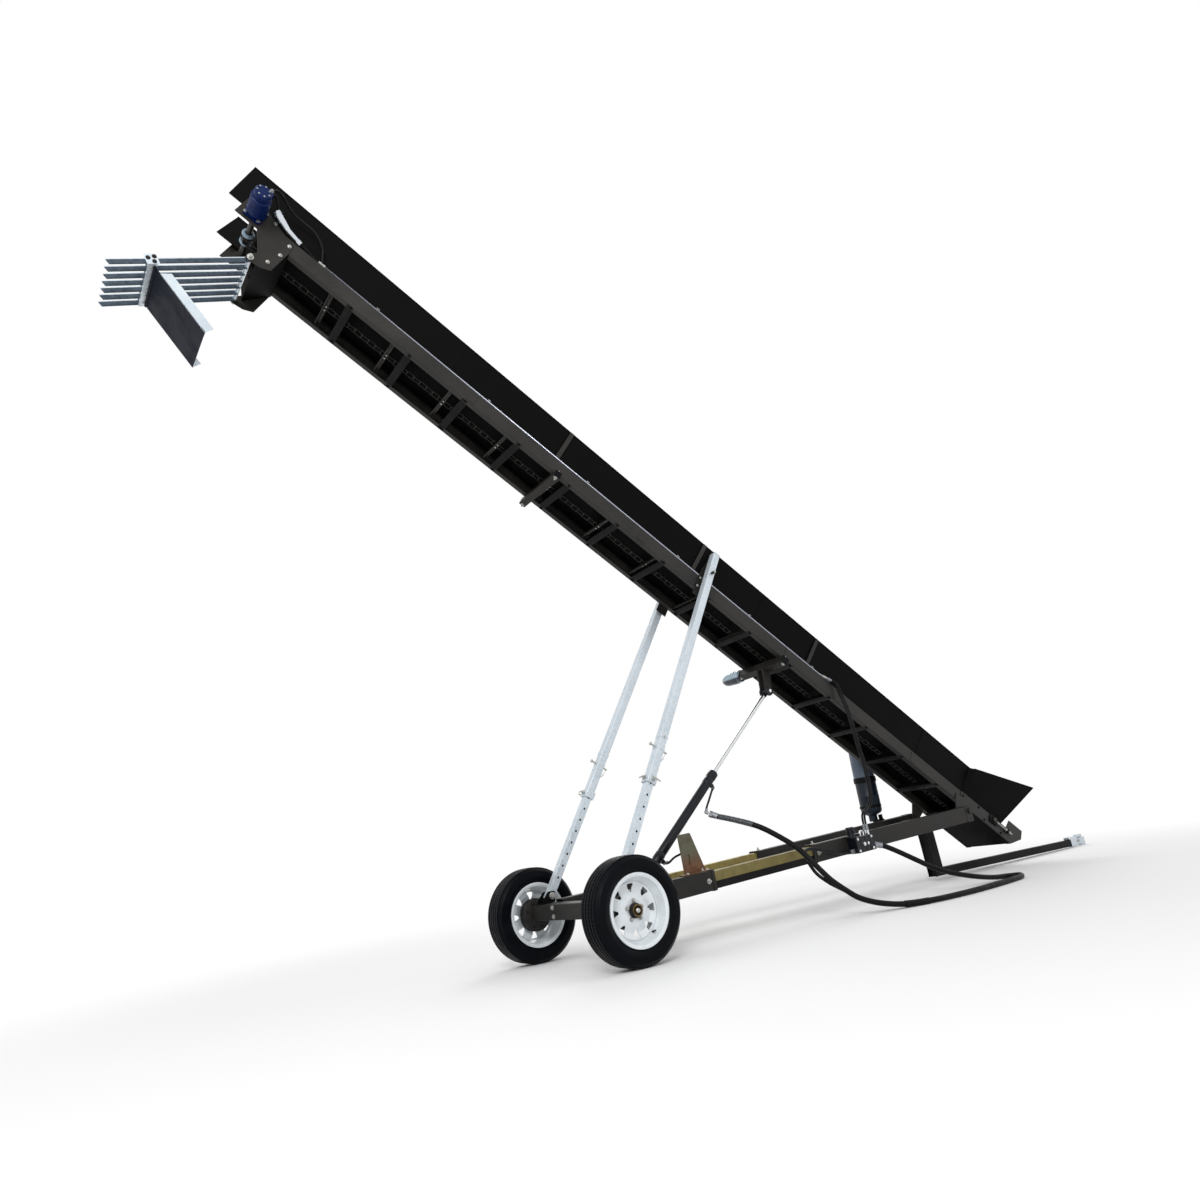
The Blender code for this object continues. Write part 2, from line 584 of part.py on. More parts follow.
def make_boards():
    lean = math.atan2(BOARD_LEAN, BOARD_H)
    up = Vector((0, math.sin(lean), math.cos(lean)))
    for side, sign in SIDES.items():
        lift = Vector((0, sign * up.y, up.z))
        foot = on_boom(0, sign * BOARD_FOOT_Y, CHANNEL_H + GAP + 0.001)
        board = [(HEAD_X, 0), (FOLD_X, 0), (FOLD_X, BOARD_H), (HEAD_X, BOARD_H)]
        pieces = [plate(board, STEEL, foot, EX, lift)]
        for x in STIFFENERS_X:
            pieces.append(plate([(x - 0.012, 0.026), (x + 0.012, 0.026), (x + 0.012, BOARD_H - 0.004),
                                 (x - 0.012, BOARD_H - 0.004)], 0.012,
                                foot + lift.cross(EX) * sign * 0.006, EX, lift))
        solid(f"side_board_{side}", BLACK, pieces, BOOM)
        spread = Vector((0, sign * 0.38, 0.92)).normalized()
        wing = [(FOLD_X + 0.003, 0), (WING_END_X, 0), (WING_TIP_X, WING_TIP_H), (FOLD_X + 0.003, BOARD_H)]
        solid(f"hopper_wing_{side}", BLACK, [plate(wing, STEEL, foot, EX, spread)], BOOM)
        tail = [(0.0, 0), (TAIL_X, 0), (TAIL_X + 0.130, 0.110), (TAIL_X + 0.130, 0.190),
                (0.650, 0.190), (0.620, CHANNEL_H), (0.0, CHANNEL_H)]
        slot = block((SHAFT_SLOT_L, 0.030, SHAFT_SLOT_H), on_boom(TAIL_SHAFT_X, sign * CHANNEL_Y, SHAFT_T))
        lug = [(-0.060, 0.050), (0.080, 0.050), (0.080, 0.0), (0.030, -UNDERSIDE - 0.026),
               (-0.030, -UNDERSIDE - 0.026), (-0.060, 0.0)]
        hole = bar(PIVOT_R + RUN, (0, sign * (CHANNEL_Y - 0.05), 0), (0, sign * (CHANNEL_Y + 0.05), 0), 20)
        solid(f"tail_plate_{side}", GREY,
              [plate(tail, STEEL, on_boom(0, sign * (CHANNEL_Y + STEEL / 2 + GAP), 0)),
               plate(lug, 0.008, on_boom(0, sign * (CHANNEL_Y + 0.004 + GAP), 0))], BOOM, [slot, hole])


def make_head():
    for side, sign in SIDES.items():
        y = sign * (CHANNEL_Y + 0.003 + GAP)
        shape = [(HEAD_X + 0.100, 0.003), (HEAD_X + 0.100, 0.160), (HEAD_X + 0.180, 0.178),
                 (HEAD_X + 0.330, 0.115), (HEAD_X + 0.450, 0.075), (HEAD_X + 0.465, 0.0),
                 (HEAD_X + 0.465, -0.183), (HEAD_X + 0.410, -0.217), (GRATE_X + 0.018, GRATE_T - 0.020),
                 (GRATE_X - 0.018, GRATE_T - 0.020), (GRATE_X - 0.020, GRATE_T + 0.016),
                 (GRATE_X + 0.010, GRATE_T + 0.064), (HEAD_X + 0.250, 0.0)]
        inner = sign * (CHANNEL_Y - 0.020)
        bearing = bar(0.045, on_boom(HEAD_SHAFT_X, inner, SHAFT_T), on_boom(HEAD_SHAFT_X, y, SHAFT_T), 20)
        bore = bar(SHAFT_R + RUN, on_boom(HEAD_SHAFT_X, inner - sign * 0.05, SHAFT_T),
                   on_boom(HEAD_SHAFT_X, y + sign * 0.05, SHAFT_T), 20)
        boss = bar(0.014, on_boom(GRATE_X, sign * (GRATE_HALF + 0.002 + GAP), GRATE_T),
                   on_boom(GRATE_X, y, GRATE_T), 16)
        solid(f"head_plate_{side}", GREY, [plate(shape, 0.006, on_boom(0, y, 0)), bearing, boss],
              BOOM, [bore])
    chute_a = on_boom(HEAD_X + 0.470, 0, -0.004)
    chute_b = on_boom(HEAD_X + 0.370, 0, -0.175)
    run = chute_b - chute_a
    turn = turn_y(math.atan2(-run.z, run.x))
    solid("chute_plate", BLACK, [block((run.length, 2 * CHANNEL_Y, STEEL), (chute_a + chute_b) / 2, turn)],
          BOOM)


def make_shafts():
    for name, x, reach in (("head_shaft", HEAD_SHAFT_X, CHANNEL_Y + 0.006),
                           ("tail_shaft", TAIL_SHAFT_X, CHANNEL_Y + 0.030)):
        shaft = bar(SHAFT_R, on_boom(x, -reach, SHAFT_T), on_boom(x, reach, SHAFT_T), 20)
        wheel_r = CHAIN_R - CHAIN_H / 2 - 0.001
        drum = bar(wheel_r, on_boom(x, -0.040, SHAFT_T), on_boom(x, 0.040, SHAFT_T), 24)
        solid(name, BLUE if name == "head_shaft" else DARK, [shaft, drum], BOOM)


def chain_point(distance):
    """A place on the chain's loop and the way out from it, by the distance along the loop."""
    span = TAIL_SHAFT_X - HEAD_SHAFT_X
    arc = math.pi * CHAIN_R
    distance %= 2 * (span + arc)
    if distance < span:
        return Vector((HEAD_SHAFT_X + distance, 0, CHAIN_R)), EZ.copy()
    distance -= span
    if distance < arc:
        angle = distance / CHAIN_R
        out = Vector((math.sin(angle), 0, math.cos(angle)))
        return Vector((TAIL_SHAFT_X, 0, 0)) + out * CHAIN_R, out
    distance -= arc
    if distance < span:
        return Vector((TAIL_SHAFT_X - distance, 0, -CHAIN_R)), -EZ
    angle = (distance - span) / CHAIN_R
    out = Vector((-math.sin(angle), 0, -math.cos(angle)))
    return Vector((HEAD_SHAFT_X, 0, 0)) + out * CHAIN_R, out


def make_chain():
    """The drag chain is one closed band with its flights standing on it."""
    span = TAIL_SHAFT_X - HEAD_SHAFT_X
    loop = 2 * (span + math.pi * CHAIN_R)
    bm = bmesh.new()
    rings = []
    turn_steps = 8
    stations = [0.0]
    for k in range(turn_steps + 1):
        stations.append(span + math.pi * CHAIN_R * k / turn_steps)
    for k in range(turn_steps):
        stations.append(2 * span + math.pi * CHAIN_R * (1 + k / turn_steps))
    for distance in stations:
        place, out = chain_point(distance)
        ring = []
        for y, d in ((-1, -1), (1, -1), (1, 1), (-1, 1)):
            co = place + out * d * CHAIN_H / 2 + EY * y * CHAIN_W / 2
            ring.append(bm.verts.new(on_boom(co.x, co.y, co.z + SHAFT_T)))
        rings.append(ring)
    for a, b in zip(rings, rings[1:] + rings[:1]):
        for k in range(4):
            bm.faces.new((a[k], a[(k + 1) % 4], b[(k + 1) % 4], b[k]))
    pieces = [mesh_from(bm, "band")]
    for k in range(FLIGHT_COUNT):
        place, out = chain_point(loop * (k + 0.5) / FLIGHT_COUNT)
        along = out.cross(EY)
        centre = place + out * (CHAIN_H / 2 + FLIGHT_H / 2 - 0.003)
        basis = Matrix((along, EY, out)).transposed()
        pieces.append(block((FLIGHT_L, 2 * FLIGHT_HALF, FLIGHT_H),
                            on_boom(centre.x, 0, centre.z + SHAFT_T), basis))
    solid("drag_chain", DARK, pieces, BOOM)


def make_drive():
    y = -(CHANNEL_Y + 0.006 + 2 * GAP)
    face = on_boom(HEAD_SHAFT_X, y, SHAFT_T)
    flange = block((0.110, 0.020, 0.110), face + Vector((0, -0.010, 0)))
    body = bar(0.060, face + Vector((0, -0.016, 0)), face + Vector((0, -0.150, 0)), 20)
    rear = bar(0.048, face + Vector((0, -0.146, 0)), face + Vector((0, -0.200, 0)), 20)
    ports = block((0.070, 0.075, 0.040), face + Vector((0.0, -0.110, 0.062)))
    solid("hydraulic_motor", BLUE, [flange, body, rear, ports], BOOM)


def make_pipes():
    """Two steel pipes lie on the near channel's ledge, from the motor to the hoses' couplings."""
    middle = CHANNEL_H + GAP + PIPE_R
    for name, y in (("pipe_inner", PIPE_INNER_Y), ("pipe_outer", PIPE_OUTER_Y)):
        tube(name, ZINC, [on_boom(PIPE_START_X, y, middle), on_boom(PIPE_END_X - 0.080, y, middle),
                          on_boom(PIPE_END_X, y - 0.012, middle + 0.006)], PIPE_R, BOOM)


def make_leg_brackets():
    """A plate on the channel's web carries the leg's pin, and its strap braces the side board.

    The leg leans outwards, so it slides out along this long pin as the boom comes down."""
    lean = math.atan2(BOARD_LEAN, BOARD_H)
    for side, sign in SIDES.items():
        y = sign * (CHANNEL_Y + 0.004 + GAP)
        shape = [(LEG_TOP_X - 0.045, -0.060), (LEG_TOP_X + 0.045, -0.060), (LEG_TOP_X + 0.045, 0.180),
                 (LEG_TOP_X + 0.030, 0.215), (LEG_TOP_X - 0.030, 0.215), (LEG_TOP_X - 0.045, 0.180)]
        step = block((0.056, 0.0148, 0.024), on_boom(LEG_TOP_X, sign * 0.2109, 0.202))
        lift = Vector((0, sign * math.sin(lean), math.cos(lean)))
        out = Vector((0, sign * math.cos(lean), -math.sin(lean)))
        foot = on_boom(LEG_TOP_X, sign * BOARD_FOOT_Y, CHANNEL_H + GAP + 0.001)
        strap = plate([(-0.028, 0.092), (0.028, 0.092), (0.028, 0.245), (-0.028, 0.245)], 0.006,
                      foot + out * (STEEL / 2 + GAP + 0.003), EX, lift)
        pin_end = LEG_TOP_Y + LEG_OUTER / 2 + LEG_PIN_REACH
        pin = bar(LEG_PIN_R, on_boom(LEG_TOP_X, y, LEG_TOP_T), on_boom(LEG_TOP_X, sign * pin_end, LEG_TOP_T), 16)
        solid(f"leg_bracket_{side}", GREY,
              [plate(shape, 0.008, on_boom(0, y, 0)), step, strap, pin], BOOM)


def leg_geometry(sign):
    foot = Vector((LEG_FOOT_X, sign * LEG_FOOT_Y, LEG_FOOT_Z))
    top = boom_to_chassis(on_boom(LEG_TOP_X, sign * LEG_TOP_Y, LEG_TOP_T))
    along = (top - foot).normalized()
    side = (EY - along * along.dot(EY)).normalized()
    front = side.cross(along)
    return foot, top, Matrix((front, side, along)).transposed()


def make_legs():
    for side, sign in SIDES.items():
        foot, top, basis = leg_geometry(sign)
        frame = empty(f"leg_frame_{side}", CHASSIS, foot, basis.to_euler())
        reach = (top - foot).length
        lower = block((LEG_INNER, LEG_INNER, LEG_LOWER_L), (0, 0, LEG_LOWER_L / 2 - 0.024))
        eye = bar(LEG_PIN_R + LEG_EYE_PLAY, (0, -0.06, 0), (0, 0.06, 0), 16)
        solid(f"leg_lower_{side}", ZINC, [lower], frame, [eye])
        outer_l = reach + LEG_OVER - LEG_COLLAR_AT
        middle = LEG_COLLAR_AT + outer_l / 2
        outer = block((LEG_OUTER, LEG_OUTER, outer_l), (0, 0, middle))
        inside = LEG_OUTER - 2 * LEG_WALL
        bore = block((inside, inside, outer_l + 0.02), (0, 0, middle - 0.030))
        collar = block((LEG_OUTER + 0.016, LEG_OUTER + 0.016, 0.050), (0, 0, LEG_COLLAR_AT + 0.022))
        bolt = bar(0.006, (0, -LEG_OUTER / 2 - 0.030, LEG_COLLAR_AT + 0.016),
                   (0, -LEG_INNER / 2 - 0.0025, LEG_COLLAR_AT + 0.016), 8)
        pin_at = LEG_COLLAR_AT + 0.245
        pin = block((LEG_OUTER + 0.090, 0.011, 0.011), (0, 0, pin_at))
        eye = bar(LEG_PIN_R + LEG_TOP_PLAY, (0, -0.06, reach), (0, 0.06, reach), 16)
        solid(f"leg_upper_{side}", ZINC, [outer, collar, bolt, pin], frame, [bore, eye])


def cylinder_geometry():
    base = Vector((CYL_BASE_X, 0, CYL_BASE_Z))
    eye = boom_to_chassis(on_boom(EYE_X, 0, EYE_T))
    along = (eye - base).normalized()
    return base, eye, Matrix((EY.cross(along), EY, along)).transposed()


def port_pipe_route():
    return [Vector(place) + EZ * (BARREL_L - 0.080) for place in PORT_PIPE]


def make_cylinder():
    """The pin at the rod's eye goes with the rod, and the ears leave it room to drift."""
    base, eye, basis = cylinder_geometry()
    frame = empty("cylinder_frame", CHASSIS, base, basis.to_euler())
    reach = (eye - base).length
    start = EYE_R + 0.022
    boss = bar(EYE_R, (0, -EYE_W / 2, 0), (0, EYE_W / 2, 0), 20)
    neck = bar(0.020, (0, 0, EYE_R - 0.008), (0, 0, start + 0.010), 16)
    barrel = bar(BARREL_R, (0, 0, start), (0, 0, BARREL_L), 24)
    gland = bar(BARREL_R + 0.004, (0, 0, BARREL_L - 0.045), (0, 0, BARREL_L + 0.006), 24)
    port = block((PORT_L, PORT_W, PORT_W), (BARREL_R + PORT_L / 2 - 0.006, 0, BARREL_L - 0.080))
    low_port = block((PORT_L, PORT_W, PORT_W), (BARREL_R + PORT_L / 2 - 0.006, 0, LOW_PORT_AT))
    pin_hole = bar(CYL_PIN_R + RUN, (0, -0.05, 0), (0, 0.05, 0), 16)
    bore = bar(BARREL_BORE, (0, 0, start + 0.030), (0, 0, BARREL_L - 0.045), 24)
    rod_hole = bar(ROD_R + RUN, (0, 0, BARREL_L - 0.060), (0, 0, BARREL_L + 0.050), 20)
    run = port_pipe_route()
    pipe = [bar(0.008, a, b, 8) for a, b in zip(run, run[1:])]
    solid("cylinder_barrel", BLACK, [boss, neck, barrel, gland, port, low_port] + pipe, frame,
          [pin_hole, bore, rod_hole])
    rod = bar(ROD_R, (0, 0, BARREL_L - ROD_IN - 0.060), (0, 0, reach - EYE_R + 0.010), 20)
    piston = bar(BARREL_BORE - RUN, (0, 0, BARREL_L - ROD_IN - 0.085), (0, 0, BARREL_L - ROD_IN - 0.045), 20)
    rod_eye = bar(EYE_R, (0, -EYE_W / 2, reach), (0, EYE_W / 2, reach), 20)
    face = EAR_Y + EAR_T / 2 + 2 * GAP
    pin = bar(CYL_PIN_R, (0, -face - 0.014, reach), (0, face + 0.014, reach), 16)
    washers = [bar(CYL_PIN_R + EYE_DRIFT + 0.008, (0, s * face, reach), (0, s * (face + 0.006), reach), 20)
               for s in (-1, 1)]
    solid("cylinder_rod", CHROME, [piston, rod, rod_eye, pin] + washers, frame)


def make_crossbars():
    size = LIFT_BAR
    top = -GAP
    lift = block((size, 2 * BAR_REACH, size), on_boom(LIFT_BAR_X, 0, top - size / 2))
    hole_r = CYL_PIN_R + EYE_DRIFT
    ear = [(LIFT_BAR_X - 0.030, top - size + 0.004), (LIFT_BAR_X + 0.060, top - size + 0.004)]
    for degrees in range(0, 181, 30):
        angle = math.radians(degrees)
        ear.append((EYE_X + (hole_r + 0.010) * math.cos(angle), EYE_T - (hole_r + 0.010) * math.sin(angle)))
    ears = [plate(ear, EAR_T, on_boom(0, s * EAR_Y, 0)) for s in (-1, 1)]
    hole = bar(hole_r, on_boom(EYE_X, -EAR_Y - 0.02, EYE_T), on_boom(EYE_X, EAR_Y + 0.02, EYE_T), 24)
    solid("lift_crossbar", BLACK, [lift] + ears, BOOM, [hole])
    arm = block((UPPER_BAR, 2 * BAR_REACH, UPPER_BAR), on_boom(UPPER_BAR_X, 0, top - UPPER_BAR / 2))
    solid("upper_crossbar", BLACK, [arm], BOOM)
    lamp_y = BAR_REACH + GAP
    middle = top - size / 2
    body = bar(0.046, on_boom(LIFT_BAR_X, lamp_y, middle), on_boom(LIFT_BAR_X, lamp_y + 0.070, middle), 20, 0.050)
    lens = bar(0.047, on_boom(LIFT_BAR_X, lamp_y + 0.060, middle),
               on_boom(LIFT_BAR_X, lamp_y + 0.150, middle), 20, 0.022)
    solid("lamp", GLASS, [body, lens], BOOM)


def make_grate():
    hinge = on_boom(GRATE_X, 0, GRATE_T)
    frame = empty("grate_frame", BOOM, hinge, (0, -BOOM_ANGLE - GRATE_ANGLE, 0))
    pieces = [bar(0.012, (0, -GRATE_HALF - 0.002, 0), (0, GRATE_HALF + 0.002, 0), 16)]
    for k in range(BAR_COUNT):
        y = -GRATE_HALF + 0.007 + (2 * GRATE_HALF - 0.014) * k / (BAR_COUNT - 1)
        pieces.append(block((GRATE_L, BAR_W, BAR_H), (-GRATE_L / 2, y, 0)))
    pieces.append(block((0.050, 2 * GRATE_HALF, 0.010), (-CLAMP_AT, 0, -BAR_H / 2 - 0.003)))
    solid("discharge_grate", ZINC, pieces, frame)
    baffle_frame = empty("baffle_frame", frame, (-CLAMP_AT + 0.010, 0, -BAR_H / 2 - 0.008 - GAP - KNUCKLE_R),
                         (0, GRATE_ANGLE + BAFFLE_ANGLE, 0))
    sheet = block((BAFFLE_L, 2 * BAFFLE_HALF, 0.004), (BAFFLE_L / 2 + 0.012, 0, 0))
    knuckle = bar(KNUCKLE_R, (0, -BAFFLE_HALF, 0), (0, BAFFLE_HALF, 0), 12)
    tie = block((0.020, 2 * BAFFLE_HALF, 0.004), (0.012, 0, 0))
    flanges = [block((BAFFLE_L - 0.040, 0.004, 0.050), (BAFFLE_L / 2 + 0.032, s * (BAFFLE_HALF - 0.002), 0.023))
               for s in (-1, 1)]
    solid("baffle", DARK, [sheet, knuckle, tie] + flanges, baffle_frame)


def make_rail_fittings():
    """The hose bracket, valve block and oil canister on the rails."""
    top = RAIL_Z + RAIL_H / 2
    y = -(RAIL_Y - RAIL_W / 2 + 0.006)
    shape = [(0.620, top + GAP), (0.840, top + GAP), (0.765, top + 0.245), (0.665, top + 0.245)]
    foot = block((0.220, 0.066, 0.006), (0.730, -RAIL_Y + 0.006, top + GAP + 0.003))
    slot = block((0.020, 0.060, 0.060), (0.720, y, top + 0.080))
    solid("hose_bracket", OLIVE, [plate(shape, 0.006, (0, y, 0)), foot], CHASSIS, [slot])
    face = -(RAIL_Y + RAIL_W / 2 + GAP)
    body = block((0.200, 0.080, 0.110), (2.230, face - 0.040, 0.010))
    tower = bar(0.030, (2.150, face - 0.030, 0.060), (2.150, face - 0.030, 0.140), 16)
    nipples = [bar(0.0085, (2.300, -y, 0.060), (2.300, -y, 0.096), 12) for y in (0.350, 0.371)]
    solid("valve_block", BLACK, [body, tower] + nipples, CHASSIS)
    y = RAIL_Y + RAIL_W / 2 + 0.080
    seat = (CANISTER_X, y, RAIL_Z + RAIL_H)
    upright = turn_y(CHASSIS_PITCH) @ EZ
    can = turned([(0.0, CANISTER_H), (0.070, CANISTER_H), (0.086, CANISTER_H - 0.025), (0.090, 0.320),
                  (0.095, 0.316), (0.095, 0.272), (0.090, 0.268), (0.088, 0.030), (0.070, 0.004),
                  (0.045, -0.006), (0.036, -0.060), (0.0, -0.060)], seat, upright, 20)
    saddle = block((0.080, y - RAIL_Y - RAIL_W / 2 - GAP + 0.030, 0.030),
                   (CANISTER_X, (y + RAIL_Y + RAIL_W / 2 + GAP + 0.030) / 2, RAIL_Z + 0.055))
    solid("oil_canister", NAVY, [can, saddle], CHASSIS)


def hose(name, route, radius, spacing):
    """A free hose through points given from the wheel axis on the floor, before the machine moves."""
    points = smooth_route(route, spacing)
    tube(name, RUBBER, points, radius, MACHINE, 2)


def make_hoses():
    base, _, basis = cylinder_geometry()
    pipe_end = turn_y(-CHASSIS_PITCH) @ (base + basis @ port_pipe_route()[-1]) + Vector((0, 0, TYRE_R))
    leaving = [pipe_end + Vector(offset) for offset in HOSE_LEAVING]
    hose("hose_cylinder", leaving + HOSE_CYLINDER, 0.018, 0.085)
    hose("hose_twin", HOSE_TWIN, 0.011, 0.06)
    middle = CHANNEL_H + GAP + PIPE_R
    for name, pipe_y, shift in (("hose_boom_inner", PIPE_INNER_Y, 0.0),
                                ("hose_boom_outer", PIPE_OUTER_Y, -HOSE_PITCH)):
        leaving = [on_boom(PIPE_END_X + 0.0010, pipe_y - 0.0122, middle + 0.0061),
                   on_boom(PIPE_END_X + 0.045, pipe_y - 0.0235, middle + 0.008),
                   on_boom(PIPE_END_X + 0.090, PIPE_INNER_Y - 0.0400 + shift, middle - 0.004)]
        route = [turn_y(BOOM_ANGLE) @ place + PIVOT_PLACE for place in leaving]
        route += [Vector(place) + EY * shift for place in HOSE_BOOM]
        hose(name, route, 0.0075, 0.045)
    hose("hose_return", HOSE_RETURN, 0.007, 0.03)


def centre_on_ground():
    """The part's origin is on the floor under the middle of its box, the hoses left out."""
    bpy.context.view_layer.update()
    depsgraph = bpy.context.evaluated_depsgraph_get()
    places = []
    for thing in PARTS.objects:
        if thing.type == "MESH":
            seen = thing.evaluated_get(depsgraph)
            places += [seen.matrix_world @ vert.co for vert in seen.data.vertices]
    low, high = ([pick(p[k] for p in places) for k in range(3)] for pick in (min, max))
    MACHINE.location = (-(low[0] + high[0]) / 2, -(low[1] + high[1]) / 2, -low[2])


def make_all():
    make_wheels()
    make_axle()
    make_rails()
    make_cross_members()
    make_drawbar()
    make_boom_frame()
    make_boards()
    make_head()
    make_shafts()
    make_chain()
    make_drive()
    make_pipes()
    make_leg_brackets()
    make_legs()
    make_cylinder()
    make_crossbars()
    make_grate()
    make_rail_fittings()
    make_hoses()
    centre_on_ground()


make_all()
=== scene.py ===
"""Dressing of the towed firewood conveyor: every visible piece, its finish, the floor, light and camera.

Metres, +Z up, +X towards the drawbar. The file follows the machine as it is put together, from the
hoses and wheels up the boom to the discharge end.
"""

import math

import bmesh
import bpy
from mathutils import Matrix, Vector


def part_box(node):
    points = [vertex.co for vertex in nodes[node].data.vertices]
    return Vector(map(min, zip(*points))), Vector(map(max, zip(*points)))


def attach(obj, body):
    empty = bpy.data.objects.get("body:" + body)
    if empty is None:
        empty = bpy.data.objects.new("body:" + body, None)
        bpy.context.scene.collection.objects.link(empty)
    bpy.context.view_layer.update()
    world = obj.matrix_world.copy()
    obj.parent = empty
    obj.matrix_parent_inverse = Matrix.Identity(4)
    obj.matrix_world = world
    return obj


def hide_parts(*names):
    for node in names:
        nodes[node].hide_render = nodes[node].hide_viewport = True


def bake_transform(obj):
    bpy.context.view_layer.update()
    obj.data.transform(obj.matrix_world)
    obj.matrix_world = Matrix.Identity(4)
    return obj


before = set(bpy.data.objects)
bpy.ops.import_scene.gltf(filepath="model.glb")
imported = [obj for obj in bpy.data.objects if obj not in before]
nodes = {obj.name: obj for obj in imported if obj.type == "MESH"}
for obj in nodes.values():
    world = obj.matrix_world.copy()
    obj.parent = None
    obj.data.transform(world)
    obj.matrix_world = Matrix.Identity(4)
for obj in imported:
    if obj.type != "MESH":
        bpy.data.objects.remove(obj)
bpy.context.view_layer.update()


# Camera: a low viewpoint off the near rear corner, looking up along the boom.
# It leans a little to one side, so that the whole machine fills a square picture.
yaw, pitch, roll = math.radians(36.5), math.radians(16.18), math.radians(-8.45)
forward = Vector((math.sin(yaw) * math.cos(pitch), math.cos(yaw) * math.cos(pitch), math.sin(pitch)))
level_right = Vector((math.cos(yaw), -math.sin(yaw), 0))
level_up = level_right.cross(forward)
right = level_right * math.cos(roll) + level_up * math.sin(roll)
up = level_up * math.cos(roll) - level_right * math.sin(roll)
camera_data = bpy.data.cameras.new("camera")
camera_data.sensor_width = 36.0
camera_data.lens = 25.336
camera_data.clip_end = 300.0
camera = bpy.data.objects.new("camera", camera_data)
camera.matrix_world = (Matrix.Translation((-4.5421, -4.516, 0.6407))
                       @ Matrix((right, up, -forward)).transposed().to_4x4())
bpy.context.scene.collection.objects.link(camera)
bpy.context.scene.camera = camera


# Floor and light: a plain pale floor under an even white sky, with one soft lamp over the near side
# and one behind, as in a product picture. The sky shows white in the picture and in bright metal.
def link(obj):
    """Put an object in the scene and give it back."""
    bpy.context.scene.collection.objects.link(obj)
    return obj


def set_inputs(node, values):
    """Give a node's inputs their fixed values, by socket name."""
    for name, value in values.items():
        node.inputs[name].default_value = value


def wire_up(tree, wires):
    """Join nodes: each wire is a node and its output, then a node and its input."""
    for source, output, target, entry in wires:
        tree.links.new(source.outputs[output], target.inputs[entry])


def math_node(tree, operation):
    """Add a node that works out one number from others."""
    node = tree.nodes.new("ShaderNodeMath")
    node.operation = operation
    return node


def background_rays(tree, target, entry):
    """Feed an input with 1 for rays from the camera and for those that metal or glass sends on."""
    path = tree.nodes.new("ShaderNodeLightPath")
    seen, output = path, "Is Camera Ray"
    for ray in ("Is Glossy Ray", "Is Transmission Ray"):
        either = math_node(tree, "MAXIMUM")
        wire_up(tree, ((seen, output, either, 0), (path, ray, either, 1)))
        seen, output = either, "Value"
    wire_up(tree, ((seen, output, target, entry),))


floor_bm = bmesh.new()
bmesh.ops.create_grid(floor_bm, x_segments=1, y_segments=1, size=60.0)
floor_mesh = bpy.data.meshes.new("floor")
floor_bm.to_mesh(floor_mesh)
floor_bm.free()
floor = link(bpy.data.objects.new("floor", floor_mesh))
floor_finish = bpy.data.materials.new("pale_floor")
floor_finish.use_nodes = True
floor_tree = floor_finish.node_tree
floor_shader = floor_tree.nodes["Principled BSDF"]
set_inputs(floor_shader, {"Base Color": (0.92, 0.92, 0.92, 1.0), "Roughness": 0.9, "Specular IOR Level": 0.1})
floor_place = floor_tree.nodes.new("ShaderNodeTexCoord")
floor_reach = floor_tree.nodes.new("ShaderNodeVectorMath")
floor_reach.operation = "LENGTH"
floor_fade = floor_tree.nodes.new("ShaderNodeMapRange")
floor_fade.interpolation_type = "SMOOTHSTEP"
set_inputs(floor_fade, {"From Min": 3.2, "From Max": 6.5})
floor_share = math_node(floor_tree, "MULTIPLY")
floor_white = floor_tree.nodes.new("ShaderNodeEmission")
set_inputs(floor_white, {"Strength": 1.0})
floor_mix = floor_tree.nodes.new("ShaderNodeMixShader")
background_rays(floor_tree, floor_share, 1)
wire_up(floor_tree, ((floor_place, "Object", floor_reach, 0), (floor_reach, "Value", floor_fade, "Value"),
                     (floor_fade, "Result", floor_share, 0), (floor_share, "Value", floor_mix, "Fac"),
                     (floor_shader, "BSDF", floor_mix, 1), (floor_white, "Emission", floor_mix, 2),
                     (floor_mix, "Shader", floor_tree.nodes["Material Output"], "Surface")))
floor_mesh.materials.append(floor_finish)

sky = bpy.data.worlds.new("sky")
sky.use_nodes = True
bpy.context.scene.world = sky
sky_tree = sky.node_tree
sky_light = sky_tree.nodes["Background"]
set_inputs(sky_light, {"Color": (1.0, 1.0, 1.0, 1.0), "Strength": 0.72})
sky_seen = sky_tree.nodes.new("ShaderNodeBackground")
set_inputs(sky_seen, {"Color": (1.0, 1.0, 1.0, 1.0), "Strength": 1.0})
sky_mix = sky_tree.nodes.new("ShaderNodeMixShader")
background_rays(sky_tree, sky_mix, "Fac")
wire_up(sky_tree, ((sky_light, "Background", sky_mix, 1), (sky_seen, "Background", sky_mix, 2),
                   (sky_mix, "Shader", sky_tree.nodes["World Output"], "Surface")))

for lamp_name, place, aim, size, power in (("key_lamp", (-7.0, -6.5, 6.5), (-1.0, 0.0, 1.5), 4.0, 420.0),
                                           ("back_lamp", (4.0, 6.0, 6.0), (-1.0, 0.0, 2.0), 5.0, 200.0)):
    lamp_data = bpy.data.lights.new(lamp_name, "AREA")
    lamp_data.shape = "DISK"
    lamp_data.size = size
    lamp_data.energy = power
    lamp = link(bpy.data.objects.new(lamp_name, lamp_data))
    lamp.location = place
    lamp.rotation_euler = (Vector(aim) - Vector(place)).to_track_quat("-Z", "Y").to_euler()

bpy.context.scene.view_settings.view_transform = "Standard"


